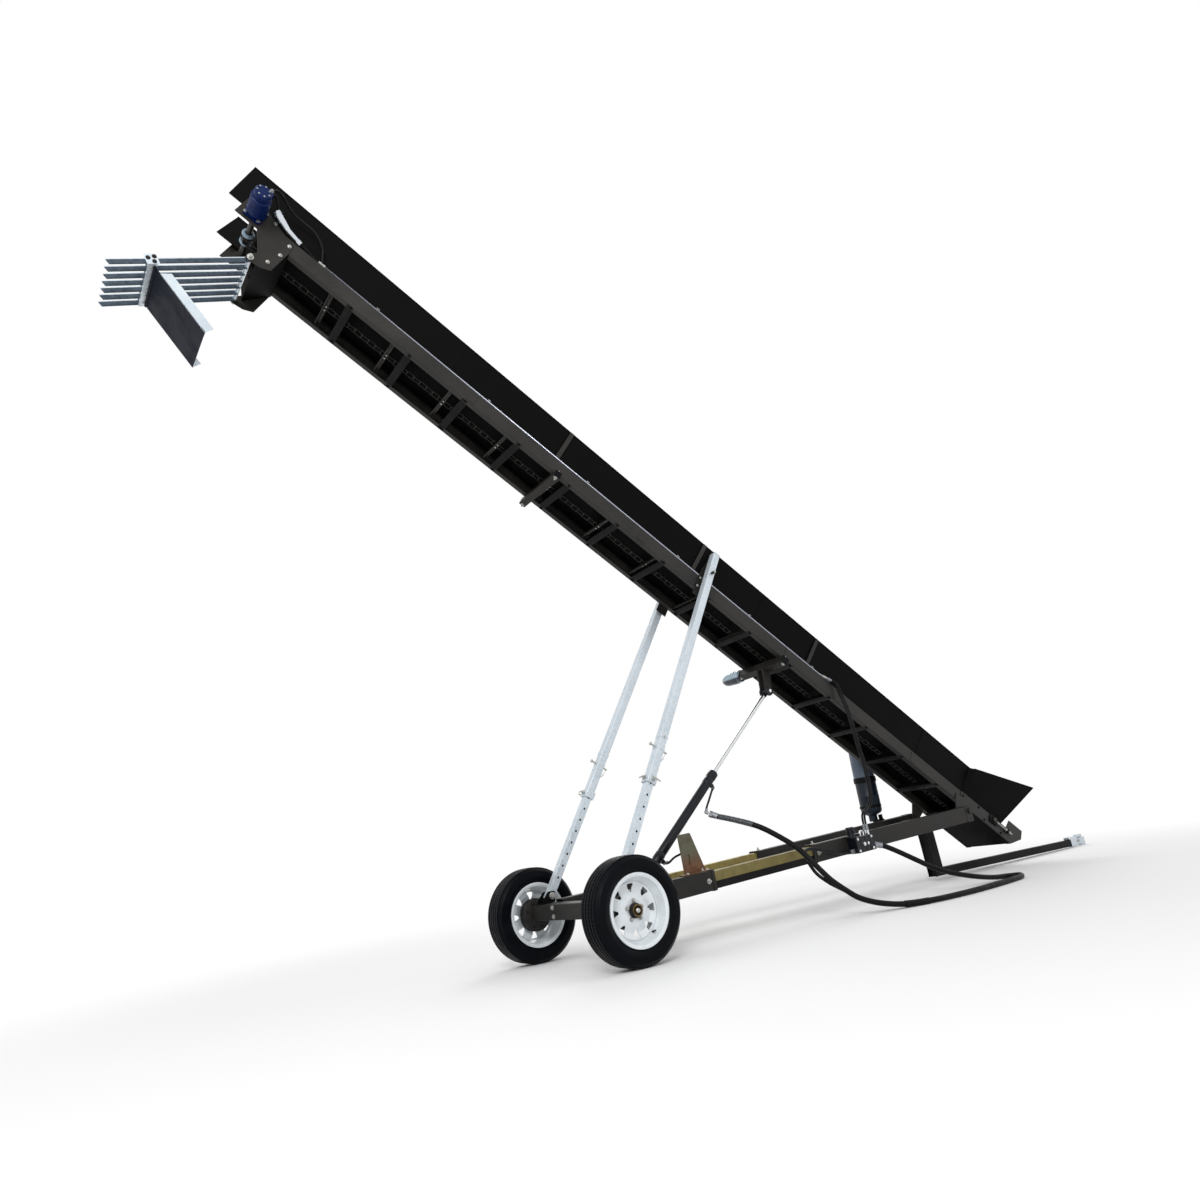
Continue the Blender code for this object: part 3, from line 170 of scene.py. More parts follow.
# Hoses: black hydraulic hose with a rubber cover, laid in loose curves between the valve, the lift
# cylinder and the steel pipes on the boom. Each one follows the route of its solid.
def new_group(name, inputs, outputs):
    """A shader group with named sockets; gives the group, its input node and its output node."""
    group = bpy.data.node_groups.new(name, "ShaderNodeTree")
    for label, default in inputs.items():
        kind = "NodeSocketFloat" if isinstance(default, float) else "NodeSocketColor"
        socket = group.interface.new_socket(name=label, in_out="INPUT", socket_type=kind)
        socket.default_value = default
    for label in outputs:
        kind = "NodeSocketColor" if label == "Color" else "NodeSocketFloat"
        group.interface.new_socket(name=label, in_out="OUTPUT", socket_type=kind)
    return group, group.nodes.new("NodeGroupInput"), group.nodes.new("NodeGroupOutput")


def worn_surface():
    """Paint or rubber with dust in broad patches, small shade changes and a fine grain."""
    group, given, result = new_group(
        "worn_surface", {"Paint": (0.5, 0.5, 0.5, 1), "Dust": (0.3, 0.3, 0.3, 1), "Dust Amount": 0.2,
                         "Scale": 6.0, "Roughness": 0.5, "Roughness Spread": 0.15},
        ("Color", "Roughness", "Height"))
    place = group.nodes.new("ShaderNodeTexCoord")
    patches = group.nodes.new("ShaderNodeTexNoise")
    set_inputs(patches, {"Detail": 6.0, "Roughness": 0.62})
    spread = group.nodes.new("ShaderNodeMapRange")
    set_inputs(spread, {"From Min": 0.42, "From Max": 0.72})
    dusty = math_node(group, "MULTIPLY")
    coated = group.nodes.new("ShaderNodeMix")
    coated.data_type = "RGBA"
    finer = math_node(group, "MULTIPLY")
    finer.inputs[1].default_value = 24.0
    grain = group.nodes.new("ShaderNodeTexNoise")
    set_inputs(grain, {"Detail": 3.0})
    shade = group.nodes.new("ShaderNodeMapRange")
    set_inputs(shade, {"To Min": 0.86, "To Max": 1.14})
    tone = group.nodes.new("ShaderNodeHueSaturation")
    rise = math_node(group, "MULTIPLY_ADD")
    wire_up(group, ((place, "Object", patches, "Vector"), (given, "Scale", patches, "Scale"),
                    (patches, "Fac", spread, "Value"), (spread, "Result", dusty, 0),
                    (given, "Dust Amount", dusty, 1), (dusty, "Value", coated, "Factor"),
                    (given, "Paint", coated, "A"), (given, "Dust", coated, "B"), (given, "Scale", finer, 0),
                    (place, "Object", grain, "Vector"), (finer, "Value", grain, "Scale"),
                    (grain, "Fac", shade, "Value"), (coated, "Result", tone, "Color"),
                    (shade, "Result", tone, "Value"), (spread, "Result", rise, 0),
                    (given, "Roughness Spread", rise, 1), (given, "Roughness", rise, 2),
                    (tone, "Color", result, "Color"), (rise, "Value", result, "Roughness"),
                    (grain, "Fac", result, "Height")))
    return group


def linear(red, green, blue):
    """A colour given as it looks on a screen, 0 to 255, as the shader wants it."""
    values = []
    for value in (red / 255, green / 255, blue / 255):
        values.append(value / 12.92 if value <= 0.04045 else ((value + 0.055) / 1.055) ** 2.4)
    return (*values, 1.0)


WORN = worn_surface()


def group_finish(name, group, values, bump, depth):
    """A material whose colour, roughness and relief come from a surface group; gives its shader too."""
    material = bpy.data.materials.new(name)
    material.use_nodes = True
    tree = material.node_tree
    shader = tree.nodes["Principled BSDF"]
    surface = tree.nodes.new("ShaderNodeGroup")
    surface.node_tree = group
    set_inputs(surface, values)
    relief = tree.nodes.new("ShaderNodeBump")
    set_inputs(relief, {"Strength": bump, "Distance": depth})
    wire_up(tree, ((surface, "Color", shader, "Base Color"), (surface, "Roughness", shader, "Roughness"),
                   (surface, "Height", relief, "Height"), (relief, "Normal", shader, "Normal")))
    return material, shader


def worn_finish(name, paint, dust, amount, scale, rough, spread, metal=0.0, bump=0.1, specular=0.5,
                coat=0.0):
    """A finish built on the worn surface group; paint and dust are screen colours."""
    material, shader = group_finish(name, WORN, {
        "Paint": linear(*paint), "Dust": linear(*dust), "Dust Amount": amount, "Scale": scale,
        "Roughness": rough, "Roughness Spread": spread}, bump, 0.0004)
    set_inputs(shader, {"Metallic": metal, "Specular IOR Level": specular, "Coat Weight": coat,
                        "Coat Roughness": 0.12})
    return material


def smooth_route(points, spacing):
    """Evenly spaced points on a smooth curve through the route's own points."""
    route = [Vector(p) for p in points]
    padded = [route[0] * 2 - route[1]] + route + [route[-1] * 2 - route[-2]]
    fine = []
    for i in range(1, len(padded) - 2):
        p0, p1, p2, p3 = padded[i - 1:i + 3]
        for k in range(24):
            u = k / 24
            fine.append(0.5 * (2 * p1 + (p2 - p0) * u + (2 * p0 - 5 * p1 + 4 * p2 - p3) * u ** 2
                               + (3 * p1 - p0 - 3 * p2 + p3) * u ** 3))
    fine.append(route[-1])
    total = sum((b - a).length for a, b in zip(fine, fine[1:]))
    count = max(2, round(total / spacing))
    step = total / count
    result = [fine[0]]
    travelled = 0.0
    for a, b in zip(fine, fine[1:]):
        length = (b - a).length
        while travelled + length >= step * len(result) - 1e-9 and len(result) < count:
            result.append(a.lerp(b, (step * len(result) - travelled) / length))
        travelled += length
    result.append(fine[-1])
    return result


def tube_mesh(name, path, radius, sides=4):
    """A round tube with filled ends along a path, as a mesh."""
    curve = bpy.data.curves.new(name, "CURVE")
    curve.dimensions = "3D"
    curve.bevel_depth = radius
    curve.bevel_resolution = sides
    curve.use_fill_caps = True
    spline = curve.splines.new("POLY")
    spline.points.add(len(path) - 1)
    for point, place in zip(spline.points, path):
        point.co = (*place, 1)
    shape = link(bpy.data.objects.new(name, curve))
    mesh = bpy.data.meshes.new_from_object(shape.evaluated_get(bpy.context.evaluated_depsgraph_get()))
    bpy.data.objects.remove(shape, do_unlink=True)
    bpy.data.curves.remove(curve)
    shell = bmesh.new()
    shell.from_mesh(mesh)
    bmesh.ops.remove_doubles(shell, verts=shell.verts, dist=0.00001)
    bmesh.ops.recalc_face_normals(shell, faces=shell.faces)
    shell.to_mesh(mesh)
    shell.free()
    mesh.name = name
    return mesh


def swept(name, path, radius, finish, body=None, sides=4):
    """A smooth round tube along a path as one object, riding on its body where one is given."""
    mesh = tube_mesh(name, path, radius, sides)
    mesh.materials.append(finish)
    mesh.shade_smooth()
    obj = link(bpy.data.objects.new(name, mesh))
    if body:
        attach(obj, body)
    return obj


EX = Vector((1, 0, 0))
EY = Vector((0, 1, 0))
EZ = Vector((0, 0, 1))
HOSE_RUBBER = worn_finish("hose_rubber", (5, 5, 7), (22, 22, 24), 0.15, 14.0, 0.42, 0.2,
                          bump=0.3, specular=0.16)
AXLE_X = -1.699807
BOOM_ANGLE = 34.87
# The boom's frame has its origin over the tail pivot, on the channels' underside, and X along the boom
BOOM = (Matrix.Translation((1.98049, 0, 0.50066)) @ Matrix.Rotation(math.radians(BOOM_ANGLE), 4, "Y")
        @ Matrix.Translation((0, 0, 0.0962)))

CYLINDER_ROUTE = [(1.0997, -0.062, 0.7545), (1.122, -0.085, 0.737), (1.222, -0.17, 0.69),
                  (1.312, -0.3, 0.621), (1.417, -0.4, 0.517), (1.474, -0.46, 0.441),
                  (1.51, -0.525, 0.345), (1.555, -0.59, 0.241), (1.606, -0.65, 0.166),
                  (1.671, -0.7, 0.103), (1.779, -0.765, 0.055), (1.92, -0.84, 0.026),
                  (2.12, -0.915, 0.0195), (2.4, -0.955, 0.0195), (2.7, -0.955, 0.0195),
                  (3.0, -0.93, 0.0195), (3.2, -0.895, 0.0195), (3.3, -0.83, 0.0195),
                  (3.27, -0.76, 0.0205), (3.13, -0.735, 0.03), (2.95, -0.715, 0.06),
                  (2.78, -0.67, 0.105), (2.64, -0.62, 0.16), (2.54, -0.55, 0.235),
                  (2.46, -0.47, 0.31), (2.4, -0.405, 0.362), (2.3398, -0.368, 0.385)]
TWIN_ROUTE = [(2.1275, -0.35, 0.365), (2.06, -0.352, 0.36), (1.95, -0.358, 0.374), (1.812, -0.368, 0.405),
              (1.64, -0.385, 0.432), (1.555, -0.42, 0.4), (1.53, -0.5, 0.293),
              (1.565, -0.566, 0.218), (1.622, -0.626, 0.16), (1.685, -0.674, 0.1), (1.792, -0.739, 0.048),
              (1.932, -0.813, 0.0165), (2.0, -0.838, 0.0125)]
BOOM_HOSE_ROUTE = [(2.484, -0.24, 1.52), (2.492, -0.262, 1.401), (2.48, -0.29, 1.25),
                   (2.468, -0.31, 1.1), (2.462, -0.33, 0.954), (2.442, -0.345, 0.76),
                   (2.39, -0.35, 0.66), (2.31, -0.35, 0.61), (2.2933, -0.35, 0.56),
                   (2.2933, -0.35, 0.4925)]
RETURN_ROUTE = [(0.6985, -0.0135, 0.487), (0.703, -0.045, 0.487), (0.732, -0.08, 0.516),
                (0.77, -0.14, 0.532), (0.788, -0.19, 0.508), (0.79, -0.2306, 0.497)]


def from_axle(route):
    """Points measured from the wheel axis on the floor, in the machine's own frame."""
    return [Vector(place) + EX * AXLE_X for place in route]


def boom_hose_route(pipe_y, shift):
    """A hose leaves its steel pipe on the boom and drops to the valve."""
    leaving = [BOOM @ Vector(place) for place in ((-1.699, pipe_y - 0.0122, 0.1184),
                                                  (-1.655, pipe_y - 0.0235, 0.1203),
                                                  (-1.61, -0.2285 + shift, 0.1083))]
    return leaving + [place + EY * shift for place in from_axle(BOOM_HOSE_ROUTE)]


hoses = {}
for hose_name, route, hose_radius, carrier, blend_to in (
        ("hose_cylinder", from_axle(CYLINDER_ROUTE), 0.018, "cylinder_barrel", (2, 40)),
        ("hose_twin", from_axle(TWIN_ROUTE), 0.011, None, None),
        ("hose_boom_inner", boom_hose_route(-0.1885, 0.0), 0.0075, "boom", (4, -12)),
        ("hose_boom_outer", boom_hose_route(-0.204, -0.021), 0.0075, "boom", (4, -12)),
        ("hose_return", from_axle(RETURN_ROUTE), 0.007, "cylinder_barrel", (2, -4))):
    hose_path = smooth_route(route, max(0.012, hose_radius * 1.2))
    hoses[hose_name] = hose_path
    hose = swept(f"{hose_name}_cover", hose_path, hose_radius, HOSE_RUBBER)
    if carrier:
        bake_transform(hose)
    else:
        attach(hose, "chassis")
    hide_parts(hose_name)


# Tyres: small trailer tyres with a ribbed, blocked tread and a smooth shiny sidewall.
# One wheel stands on each end of the axle, 1.09 m apart.
def block_in(bm, size, centre, turn=None):
    """Add a block of a size about its centre."""
    matrix = Matrix.Translation(centre)
    if turn is not None:
        matrix = matrix @ turn.to_4x4()
    matrix = matrix @ Matrix.Diagonal((*size, 1.0))
    bmesh.ops.create_cube(bm, size=1.0, matrix=matrix)


def bar_in(bm, radius, start, end, sides=24, end_radius=None):
    """Add a round or many-sided bar from one point to another, tapered where an end radius is given."""
    start = Vector(start)
    end = Vector(end)
    run = end - start
    turn = run.to_track_quat("Z", "Y").to_matrix().to_4x4()
    bmesh.ops.create_cone(bm, cap_ends=True, segments=sides, radius1=radius,
                          radius2=radius if end_radius is None else end_radius, depth=run.length,
                          matrix=Matrix.Translation((start + end) / 2) @ turn)


def turned_in(bm, profile, place, axis=EY, steps=64, closed=True):
    """Spin a profile of radius and place along the axis; a closed one returns to its first point."""
    turn = Matrix.Translation(place) @ Vector(axis).to_track_quat("Z", "Y").to_matrix().to_4x4()
    verts = [bm.verts.new(turn @ Vector((radius, 0, along))) for radius, along in profile]
    pairs = list(zip(verts, verts[1:])) + ([(verts[-1], verts[0])] if closed else [])
    edges = [bm.edges.new(pair) for pair in pairs]
    bmesh.ops.spin(bm, geom=verts + edges, axis=turn.to_3x3() @ EZ, cent=Vector(place), steps=steps,
                   angle=math.tau, use_merge=True)
    bmesh.ops.remove_doubles(bm, verts=bm.verts, dist=0.00001)
    loose = [edge for edge in bm.edges if not edge.link_faces]
    bmesh.ops.delete(bm, geom=loose, context="EDGES")


def piece(name, bm, place, finish, body, bevel=0.0, replaces=(), sharp=38):
    """Finish a shape as one object: placed, smoothed, with its edges eased, riding on its body."""
    bmesh.ops.recalc_face_normals(bm, faces=bm.faces)
    bm.transform(place)
    mesh = bpy.data.meshes.new(name)
    bm.to_mesh(mesh)
    bm.free()
    mesh.materials.append(finish)
    mesh.shade_smooth()
    mesh.set_sharp_from_angle(angle=math.radians(sharp))
    obj = link(bpy.data.objects.new(name, mesh))
    if bevel:
        eased = obj.modifiers.new("eased_edges", "BEVEL")
        eased.width = bevel
        eased.segments = 2
        eased.limit_method = "ANGLE"
        eased.angle_limit = math.radians(35)
        eased.harden_normals = True
    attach(obj, body)
    if replaces:
        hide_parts(*replaces)


TYRE_RUBBER = worn_finish("tyre_rubber", (2, 4, 8), (12, 17, 24), 0.15, 9.0, 0.34, 0.3,
                          bump=0.25, specular=0.08)
TREAD_HALF = [(0.1783, 0.0712), (0.1985, 0.0712), (0.206, 0.08), (0.215, 0.0842), (0.229, 0.0868),
              (0.231, 0.0878), (0.233, 0.087), (0.242, 0.0874), (0.254, 0.0866), (0.264, 0.0836),
              (0.266, 0.084), (0.268, 0.0822), (0.276, 0.0752), (0.2845, 0.065), (0.288, 0.06),
              (0.2888, 0.044), (0.285, 0.0425), (0.285, 0.0365), (0.289, 0.035), (0.2893, 0.019),
              (0.285, 0.0175), (0.285, 0.0115), (0.2895, 0.01)]
HALF_TRACK, AXIS_HEIGHT, TREAD_RADIUS = 0.545, 0.2915, 0.286
SIGN = {"left": -1, "right": 1}
WHEEL_AT = {side: Matrix.Translation((AXLE_X, sign * HALF_TRACK, AXIS_HEIGHT)) for side, sign in SIGN.items()}
for side, sign in SIGN.items():
    tyre_bm = bmesh.new()
    tyre_profile = TREAD_HALF + [(radius, -along) for radius, along in reversed(TREAD_HALF)]
    turned_in(tyre_bm, tyre_profile, (0, 0, 0), EY * sign, 90)
    blocks = []
    for face in tyre_bm.faces:
        middle = face.calc_center_median()
        if math.hypot(middle.x, middle.z) > TREAD_RADIUS and face.calc_area() > 0.0001:
            blocks.append(face)
    bmesh.ops.inset_individual(tyre_bm, faces=blocks, thickness=0.0016, depth=0.0018)
    piece(f"tyre_{side}_tread", tyre_bm, WHEEL_AT[side], TYRE_RUBBER, f"wheel_{side}",
          replaces=(f"tyre_{side}",), sharp=50)


# Rims: pressed steel, painted a cold white, with eight rounded triangular windows round the dish.
# Five nuts hold each to its hub, and a rubber valve stands out of the well.
def plate_mesh(outline, thickness, holes=()):
    """A flat sheet with holes in it, as a mesh centred on its thickness."""
    curve = bpy.data.curves.new("outline", "CURVE")
    curve.dimensions = "2D"
    curve.fill_mode = "BOTH"
    curve.extrude = thickness / 2
    for loop in [outline, *holes]:
        spline = curve.splines.new("POLY")
        spline.points.add(len(loop) - 1)
        for point, (x, y) in zip(spline.points, loop):
            point.co = (x, y, 0, 1)
        spline.use_cyclic_u = True
    shape = link(bpy.data.objects.new("outline", curve))
    mesh = bpy.data.meshes.new_from_object(shape.evaluated_get(bpy.context.evaluated_depsgraph_get()))
    bpy.data.objects.remove(shape, do_unlink=True)
    bpy.data.curves.remove(curve)
    return mesh


def sheet_in(bm, outline, thickness, place, across=EX, up=EZ, holes=()):
    """Add a flat sheet whose outline lies in the plane of across and up."""
    mesh = plate_mesh(outline, thickness, holes)
    across = Vector(across).normalized()
    up = Vector(up).normalized()
    basis = Matrix((across, up, across.cross(up))).transposed().to_4x4()
    mesh.transform(Matrix.Translation(place) @ basis)
    sheet = bmesh.new()
    sheet.from_mesh(mesh)
    bmesh.ops.remove_doubles(sheet, verts=sheet.verts, dist=0.00001)
    sheet.to_mesh(mesh)
    sheet.free()
    bm.from_mesh(mesh)
    bpy.data.meshes.remove(mesh)


def rounded(outline, radius, steps=4):
    """The same outline with its corners rounded."""
    points = []
    count = len(outline)
    for i in range(count):
        before, corner, after = (Vector(outline[(i + k) % count]) for k in (-1, 0, 1))
        to_before = (before - corner).normalized()
        to_after = (after - corner).normalized()
        half = to_before.angle(to_after) / 2
        run = min(radius / math.tan(half), (before - corner).length / 2.1, (after - corner).length / 2.1)
        for k in range(steps + 1):
            u = k / steps
            a = corner + to_before * run
            b = corner + to_after * run
            points.append(tuple(a * (1 - u) ** 2 + corner * 2 * u * (1 - u) + b * u ** 2))
    return points


def ring_of(centre, radius, count=16):
    """The corners of a round hole about a centre."""
    return [(centre[0] + radius * math.cos(math.tau * k / count),
             centre[1] + radius * math.sin(math.tau * k / count)) for k in range(count)]


def oblong(half_width, half_height):
    """The four corners of a rectangle about the origin."""
    return [(-half_width, -half_height), (half_width, -half_height), (half_width, half_height),
            (-half_width, half_height)]


def spoke(angle):
    """The way out from a wheel's axis at an angle round it."""
    return Vector((math.cos(angle), 0, math.sin(angle)))


WHEEL_WHITE = worn_finish("wheel_enamel", (222, 228, 232), (170, 172, 170), 0.35, 10.0,
                          0.28, 0.25, metal=0.15, coat=0.3)
BOLT_ZINC = worn_finish("bolt_zinc", (186, 188, 184), (120, 112, 96), 0.3, 40.0, 0.3, 0.2,
                        metal=0.85)
RIM_PROFILE = [(0.1955, 0.0775), (0.195, 0.0805), (0.1905, 0.0815), (0.185, 0.08), (0.1745, 0.0755),
               (0.1715, 0.06), (0.164, 0.048), (0.16, 0.03), (0.1548, 0.024),
               (0.1538, 0.018), (0.1508, 0.018), (0.15, 0.0222), (0.148, 0.0215),
               (0.14, 0.019), (0.118, 0.01), (0.095, 0.016), (0.08, 0.024), (0.07, 0.0265),
               (0.04, 0.0265), (0.033, 0.025), (0.033, 0.02), (0.068, 0.02), (0.078, 0.018),
               (0.094, 0.01), (0.118, 0.004), (0.14, 0.0125), (0.15, 0.014), (0.155, -0.03),
               (0.168, -0.055), (0.174, -0.0755), (0.1905, -0.0815), (0.195, -0.0805), (0.1955, -0.0775),
               (0.1955, -0.0715), (0.178, -0.0715), (0.1775, -0.045), (0.163, -0.03), (0.163, 0.028),
               (0.178, 0.045), (0.178, 0.0715), (0.1955, 0.0715)]
WINDOW = rounded([(-0.025, 0.022), (0.025, 0.022), (0.006, -0.022), (-0.006, -0.022)], 0.0075)


def mesh_of(name, bm):
    """Turn a shape into a mesh whose faces look outwards."""
    bmesh.ops.recalc_face_normals(bm, faces=bm.faces)
    mesh = bpy.data.meshes.new(name)
    bm.to_mesh(mesh)
    bm.free()
    return mesh


for side, sign in SIGN.items():
    outward = EY * sign
    rim_bm = bmesh.new()
    turned_in(rim_bm, RIM_PROFILE, (0, 0, 0), outward, 96)
    window_bm = bmesh.new()
    for k in range(8):
        out = spoke(math.tau * k / 8)
        sheet_in(window_bm, WINDOW, 0.08, out * 0.119 + outward * 0.012, out.cross(EY), out)
    rim_blank = link(bpy.data.objects.new("rim_blank", mesh_of("rim", rim_bm)))
    window_tool = link(bpy.data.objects.new("window_tool", mesh_of("windows", window_bm)))
    punch = rim_blank.modifiers.new("windows", "BOOLEAN")
    punch.operation = "DIFFERENCE"
    punch.solver = "EXACT"
    punch.object = window_tool
    punched = bpy.data.meshes.new_from_object(
        rim_blank.evaluated_get(bpy.context.evaluated_depsgraph_get()))
    bpy.data.objects.remove(rim_blank, do_unlink=True)
    bpy.data.objects.remove(window_tool, do_unlink=True)
    rim_bm = bmesh.new()
    rim_bm.from_mesh(punched)
    bpy.data.meshes.remove(punched)
    piece(f"rim_{side}_dish", rim_bm, WHEEL_AT[side], WHEEL_WHITE, f"wheel_{side}", 0.0012,
          (f"rim_{side}",), 30)
    nut_bm = bmesh.new()
    for k in range(5):
        centre = spoke(math.tau * (k + 0.25) / 5) * 0.052
        bar_in(nut_bm, 0.0125, centre + outward * 0.0262, centre + outward * 0.0285, 20)
        bar_in(nut_bm, 0.01, centre + outward * 0.028, centre + outward * 0.039, 6, 0.0092)
        bar_in(nut_bm, 0.0058, centre + outward * 0.038, centre + outward * 0.044, 14, 0.005)
    piece(f"wheel_nuts_{side}", nut_bm, WHEEL_AT[side], BOLT_ZINC, f"wheel_{side}", 0.0006)
    stem_bm = bmesh.new()
    foot = spoke(math.radians(-52 if side == "left" else -120))
    bend = foot * 0.151 + outward * 0.052
    bar_in(stem_bm, 0.006, foot * 0.158 + outward * 0.03, bend, 14, 0.0042)
    bar_in(stem_bm, 0.0042, bend, foot * 0.148 + outward * 0.064, 12)
    piece(f"valve_stem_{side}", stem_bm, WHEEL_AT[side], TYRE_RUBBER, f"wheel_{side}", 0.0005)


# Hubs: cast iron drums behind the dish, with a brass-toned grease seal. They turn on the axle's
# spindles. Neither has a cap, so the nut and the thread of the spindle show.
DRUM_IRON = worn_finish("drum_iron", (16, 16, 17), (60, 50, 38), 0.3, 18.0, 0.55, 0.25,
                        metal=0.35, bump=0.5)
BRASS = worn_finish("brass_seal", (112, 92, 58), (52, 46, 40), 0.6, 30.0, 0.35, 0.3,
                    metal=0.8)
DRUM_PROFILE = [(0.062, 0.0195), (0.062, -0.008), (0.098, -0.011), (0.1, -0.014), (0.1, -0.024),
                (0.097, -0.026), (0.097, -0.056), (0.1, -0.058), (0.096, -0.061), (0.048, -0.064),
                (0.036, -0.066), (0.036, -0.075), (0.021, -0.075), (0.021, 0.042), (0.027, 0.044),
                (0.027, 0.056), (0.034, 0.056), (0.0355, 0.048), (0.04, 0.04), (0.0405, 0.0285),
                (0.0325, 0.028), (0.0325, 0.0195)]
for side, sign in SIGN.items():
    outward = EY * sign
    drum_bm = bmesh.new()
    turned_in(drum_bm, DRUM_PROFILE, (0, 0, 0), outward, 48)
    for k in range(8):
        centre = spoke(math.tau * (k + 0.5) / 8) * 0.078
        bar_in(drum_bm, 0.0075, centre - outward * 0.0615, centre - outward * 0.07, 6)
    piece(f"hub_{side}_drum", drum_bm, WHEEL_AT[side], DRUM_IRON, f"wheel_{side}", 0.001, (f"hub_{side}",))
    seal_bm = bmesh.new()
    turned_in(seal_bm, [(0.033, 0.0562), (0.0334, 0.059), (0.03, 0.0602), (0.0245, 0.058),
                        (0.0245, 0.0562)], (0, 0, 0), outward, 40)
    bar_in(seal_bm, 0.017, outward * 0.044, outward * 0.056, 6)
    piece(f"grease_seal_{side}", seal_bm, WHEEL_AT[side], BRASS, f"wheel_{side}", 0.0006)
    thread = [(0.0, 0.044), (0.0098, 0.044)]
    for k in range(9):
        thread += [(0.0098, 0.052 + 0.0016 * k), (0.0108, 0.0528 + 0.0016 * k)]
    thread += [(0.009, 0.0672), (0.0, 0.0676)]
    spindle_bm = bmesh.new()
    turned_in(spindle_bm, thread, (0, 0, 0), outward, 24)
    piece(f"spindle_thread_{side}", spindle_bm, WHEEL_AT[side], BOLT_ZINC, "chassis")


# Axle: a deep square beam between the wheels in the dark frame paint, with spindles bolted in its ends.
# The leg feet stand on it as pairs of ears in black.
CHASSIS = Matrix.Translation((AXLE_X, 0, AXIS_HEIGHT)) @ Matrix.Rotation(math.radians(-2.6), 4, "Y")
FRAME_GREY = worn_finish("frame_grey", (30, 29, 28), (60, 57, 50), 0.4, 3.5, 0.42, 0.2,
                         bump=0.15, specular=0.2)
FRAME_BLACK = worn_finish("frame_black", (6, 6, 6), (24, 23, 20), 0.3, 4.0, 0.45, 0.2,
                          bump=0.15, specular=0.11)
AXLE_WIDTH, AXLE_HEIGHT, AXLE_MIDDLE_Z, AXLE_REACH = 0.1, 0.093, 0.0165, 0.435


def tube_in(bm, width, height, wall, start, end, across=EY, up=EZ, corner=0.008):
    """A square tube with rounded corners from one point to another."""
    start = Vector(start)
    end = Vector(end)
    outer = rounded(oblong(width / 2, height / 2), corner)
    inner = rounded(oblong(width / 2 - wall, height / 2 - wall), max(corner - wall, 0.001))
    sheet_in(bm, outer, (end - start).length, (start + end) / 2, across, up, [inner])


def bolt_in(bm, place, out, size=0.012, washer=True, reach=0.0):
    """A hexagon bolt head on its washer; size is the head's radius."""
    place = Vector(place)
    out = Vector(out).normalized()
    if washer:
        bar_in(bm, size * 1.45, place, place + out * size * 0.22, 20)
    bar_in(bm, size, place + out * size * 0.2, place + out * size * 0.95, 6)
    if reach:
        bar_in(bm, size * 0.55, place + out * size * 0.9, place + out * (size * 0.95 + reach), 14)


axle_bm = bmesh.new()
tube_in(axle_bm, AXLE_WIDTH, AXLE_HEIGHT, 0.006, (0, -AXLE_REACH, AXLE_MIDDLE_Z),
        (0, AXLE_REACH, AXLE_MIDDLE_Z), -EX)
for sign in SIGN.values():
    block_in(axle_bm, (AXLE_WIDTH - 0.006, 0.006, AXLE_HEIGHT - 0.006),
             (0, sign * (AXLE_REACH - 0.006), AXLE_MIDDLE_Z))
    bar_in(axle_bm, 0.02, (0, sign * (AXLE_REACH - 0.02), 0), (0, sign * HALF_TRACK, 0), 28)
    bar_in(axle_bm, 0.032, (0, sign * (AXLE_REACH - 0.004), 0), (0, sign * (AXLE_REACH + 0.01), 0), 32)
piece("axle_beam_tube", axle_bm, CHASSIS, FRAME_GREY, "chassis", 0.0008, ("axle_beam",))
axle_bolt_bm = bmesh.new()
for sign in SIGN.values():
    for height in (-0.008, 0.044):
        bolt_in(axle_bolt_bm, (-0.05, sign * (AXLE_REACH - 0.235), height), -EX, 0.01)
        bolt_in(axle_bolt_bm, (0.05, sign * (AXLE_REACH - 0.045), height), EX, 0.01)
piece("axle_bolts", axle_bolt_bm, CHASSIS, BOLT_ZINC, "chassis", 0.0006)

LEG_FOOT = Vector((0.045, 0.376, 0.103))
LEG_TOP = Vector((1.40476, 0.272, 2.06296))
foot_bolts = bmesh.new()
for side, sign in SIGN.items():
    foot_bm = bmesh.new()
    ear = rounded([(-0.045, 0.0633), (0.06, 0.0633), (LEG_FOOT.x + 0.026, 0.131),
                   (LEG_FOOT.x - 0.026, 0.131)], 0.016)
    for offset in (-0.0315, 0.0315):
        sheet_in(foot_bm, ear, 0.008, (0, sign * LEG_FOOT.y + offset, 0))
    block_in(foot_bm, (0.105, 0.067, 0.006), (0.0075, sign * LEG_FOOT.y, 0.0663))
    piece(f"leg_foot_{side}_ears", foot_bm, CHASSIS, FRAME_BLACK, "chassis", 0.0012, (f"leg_foot_{side}",))
    bar_in(foot_bolts, 0.01, (LEG_FOOT.x, sign * LEG_FOOT.y - 0.044, LEG_FOOT.z),
           (LEG_FOOT.x, sign * LEG_FOOT.y + 0.044, LEG_FOOT.z), 20)
    for out in (-1, 1):
        bolt_in(foot_bolts, (LEG_FOOT.x, sign * LEG_FOOT.y + out * 0.0355, LEG_FOOT.z), EY * out, 0.015)
piece("leg_foot_bolts", foot_bolts, CHASSIS, BOLT_ZINC, "chassis", 0.0007)


# Rails: two square tubes a side with a smaller tube sliding inside them, so the wheels can be set
# nearer or farther from the tail. The outer tubes are dark grey. The inner ones are passivated to a
# dull gold, and the near one's lower half is painted black as painted shade.
PASSIVATED = worn_finish("passivated_steel", (142, 128, 74), (96, 84, 48), 0.6, 16.0,
                         0.38, 0.25, metal=0.55, bump=0.1)
RAIL_MIDDLE_Y, RAIL_MIDDLE_Z, PIVOT_X, PIVOT_HEIGHT = 0.27, 0.02, 3.686, 0.042
RAIL_SIZE, COLLAR_SIZE, INNER_SIZE, INNER_DROP = (0.08, 0.12), (0.087, 0.127), (0.066, 0.106), 0.0017


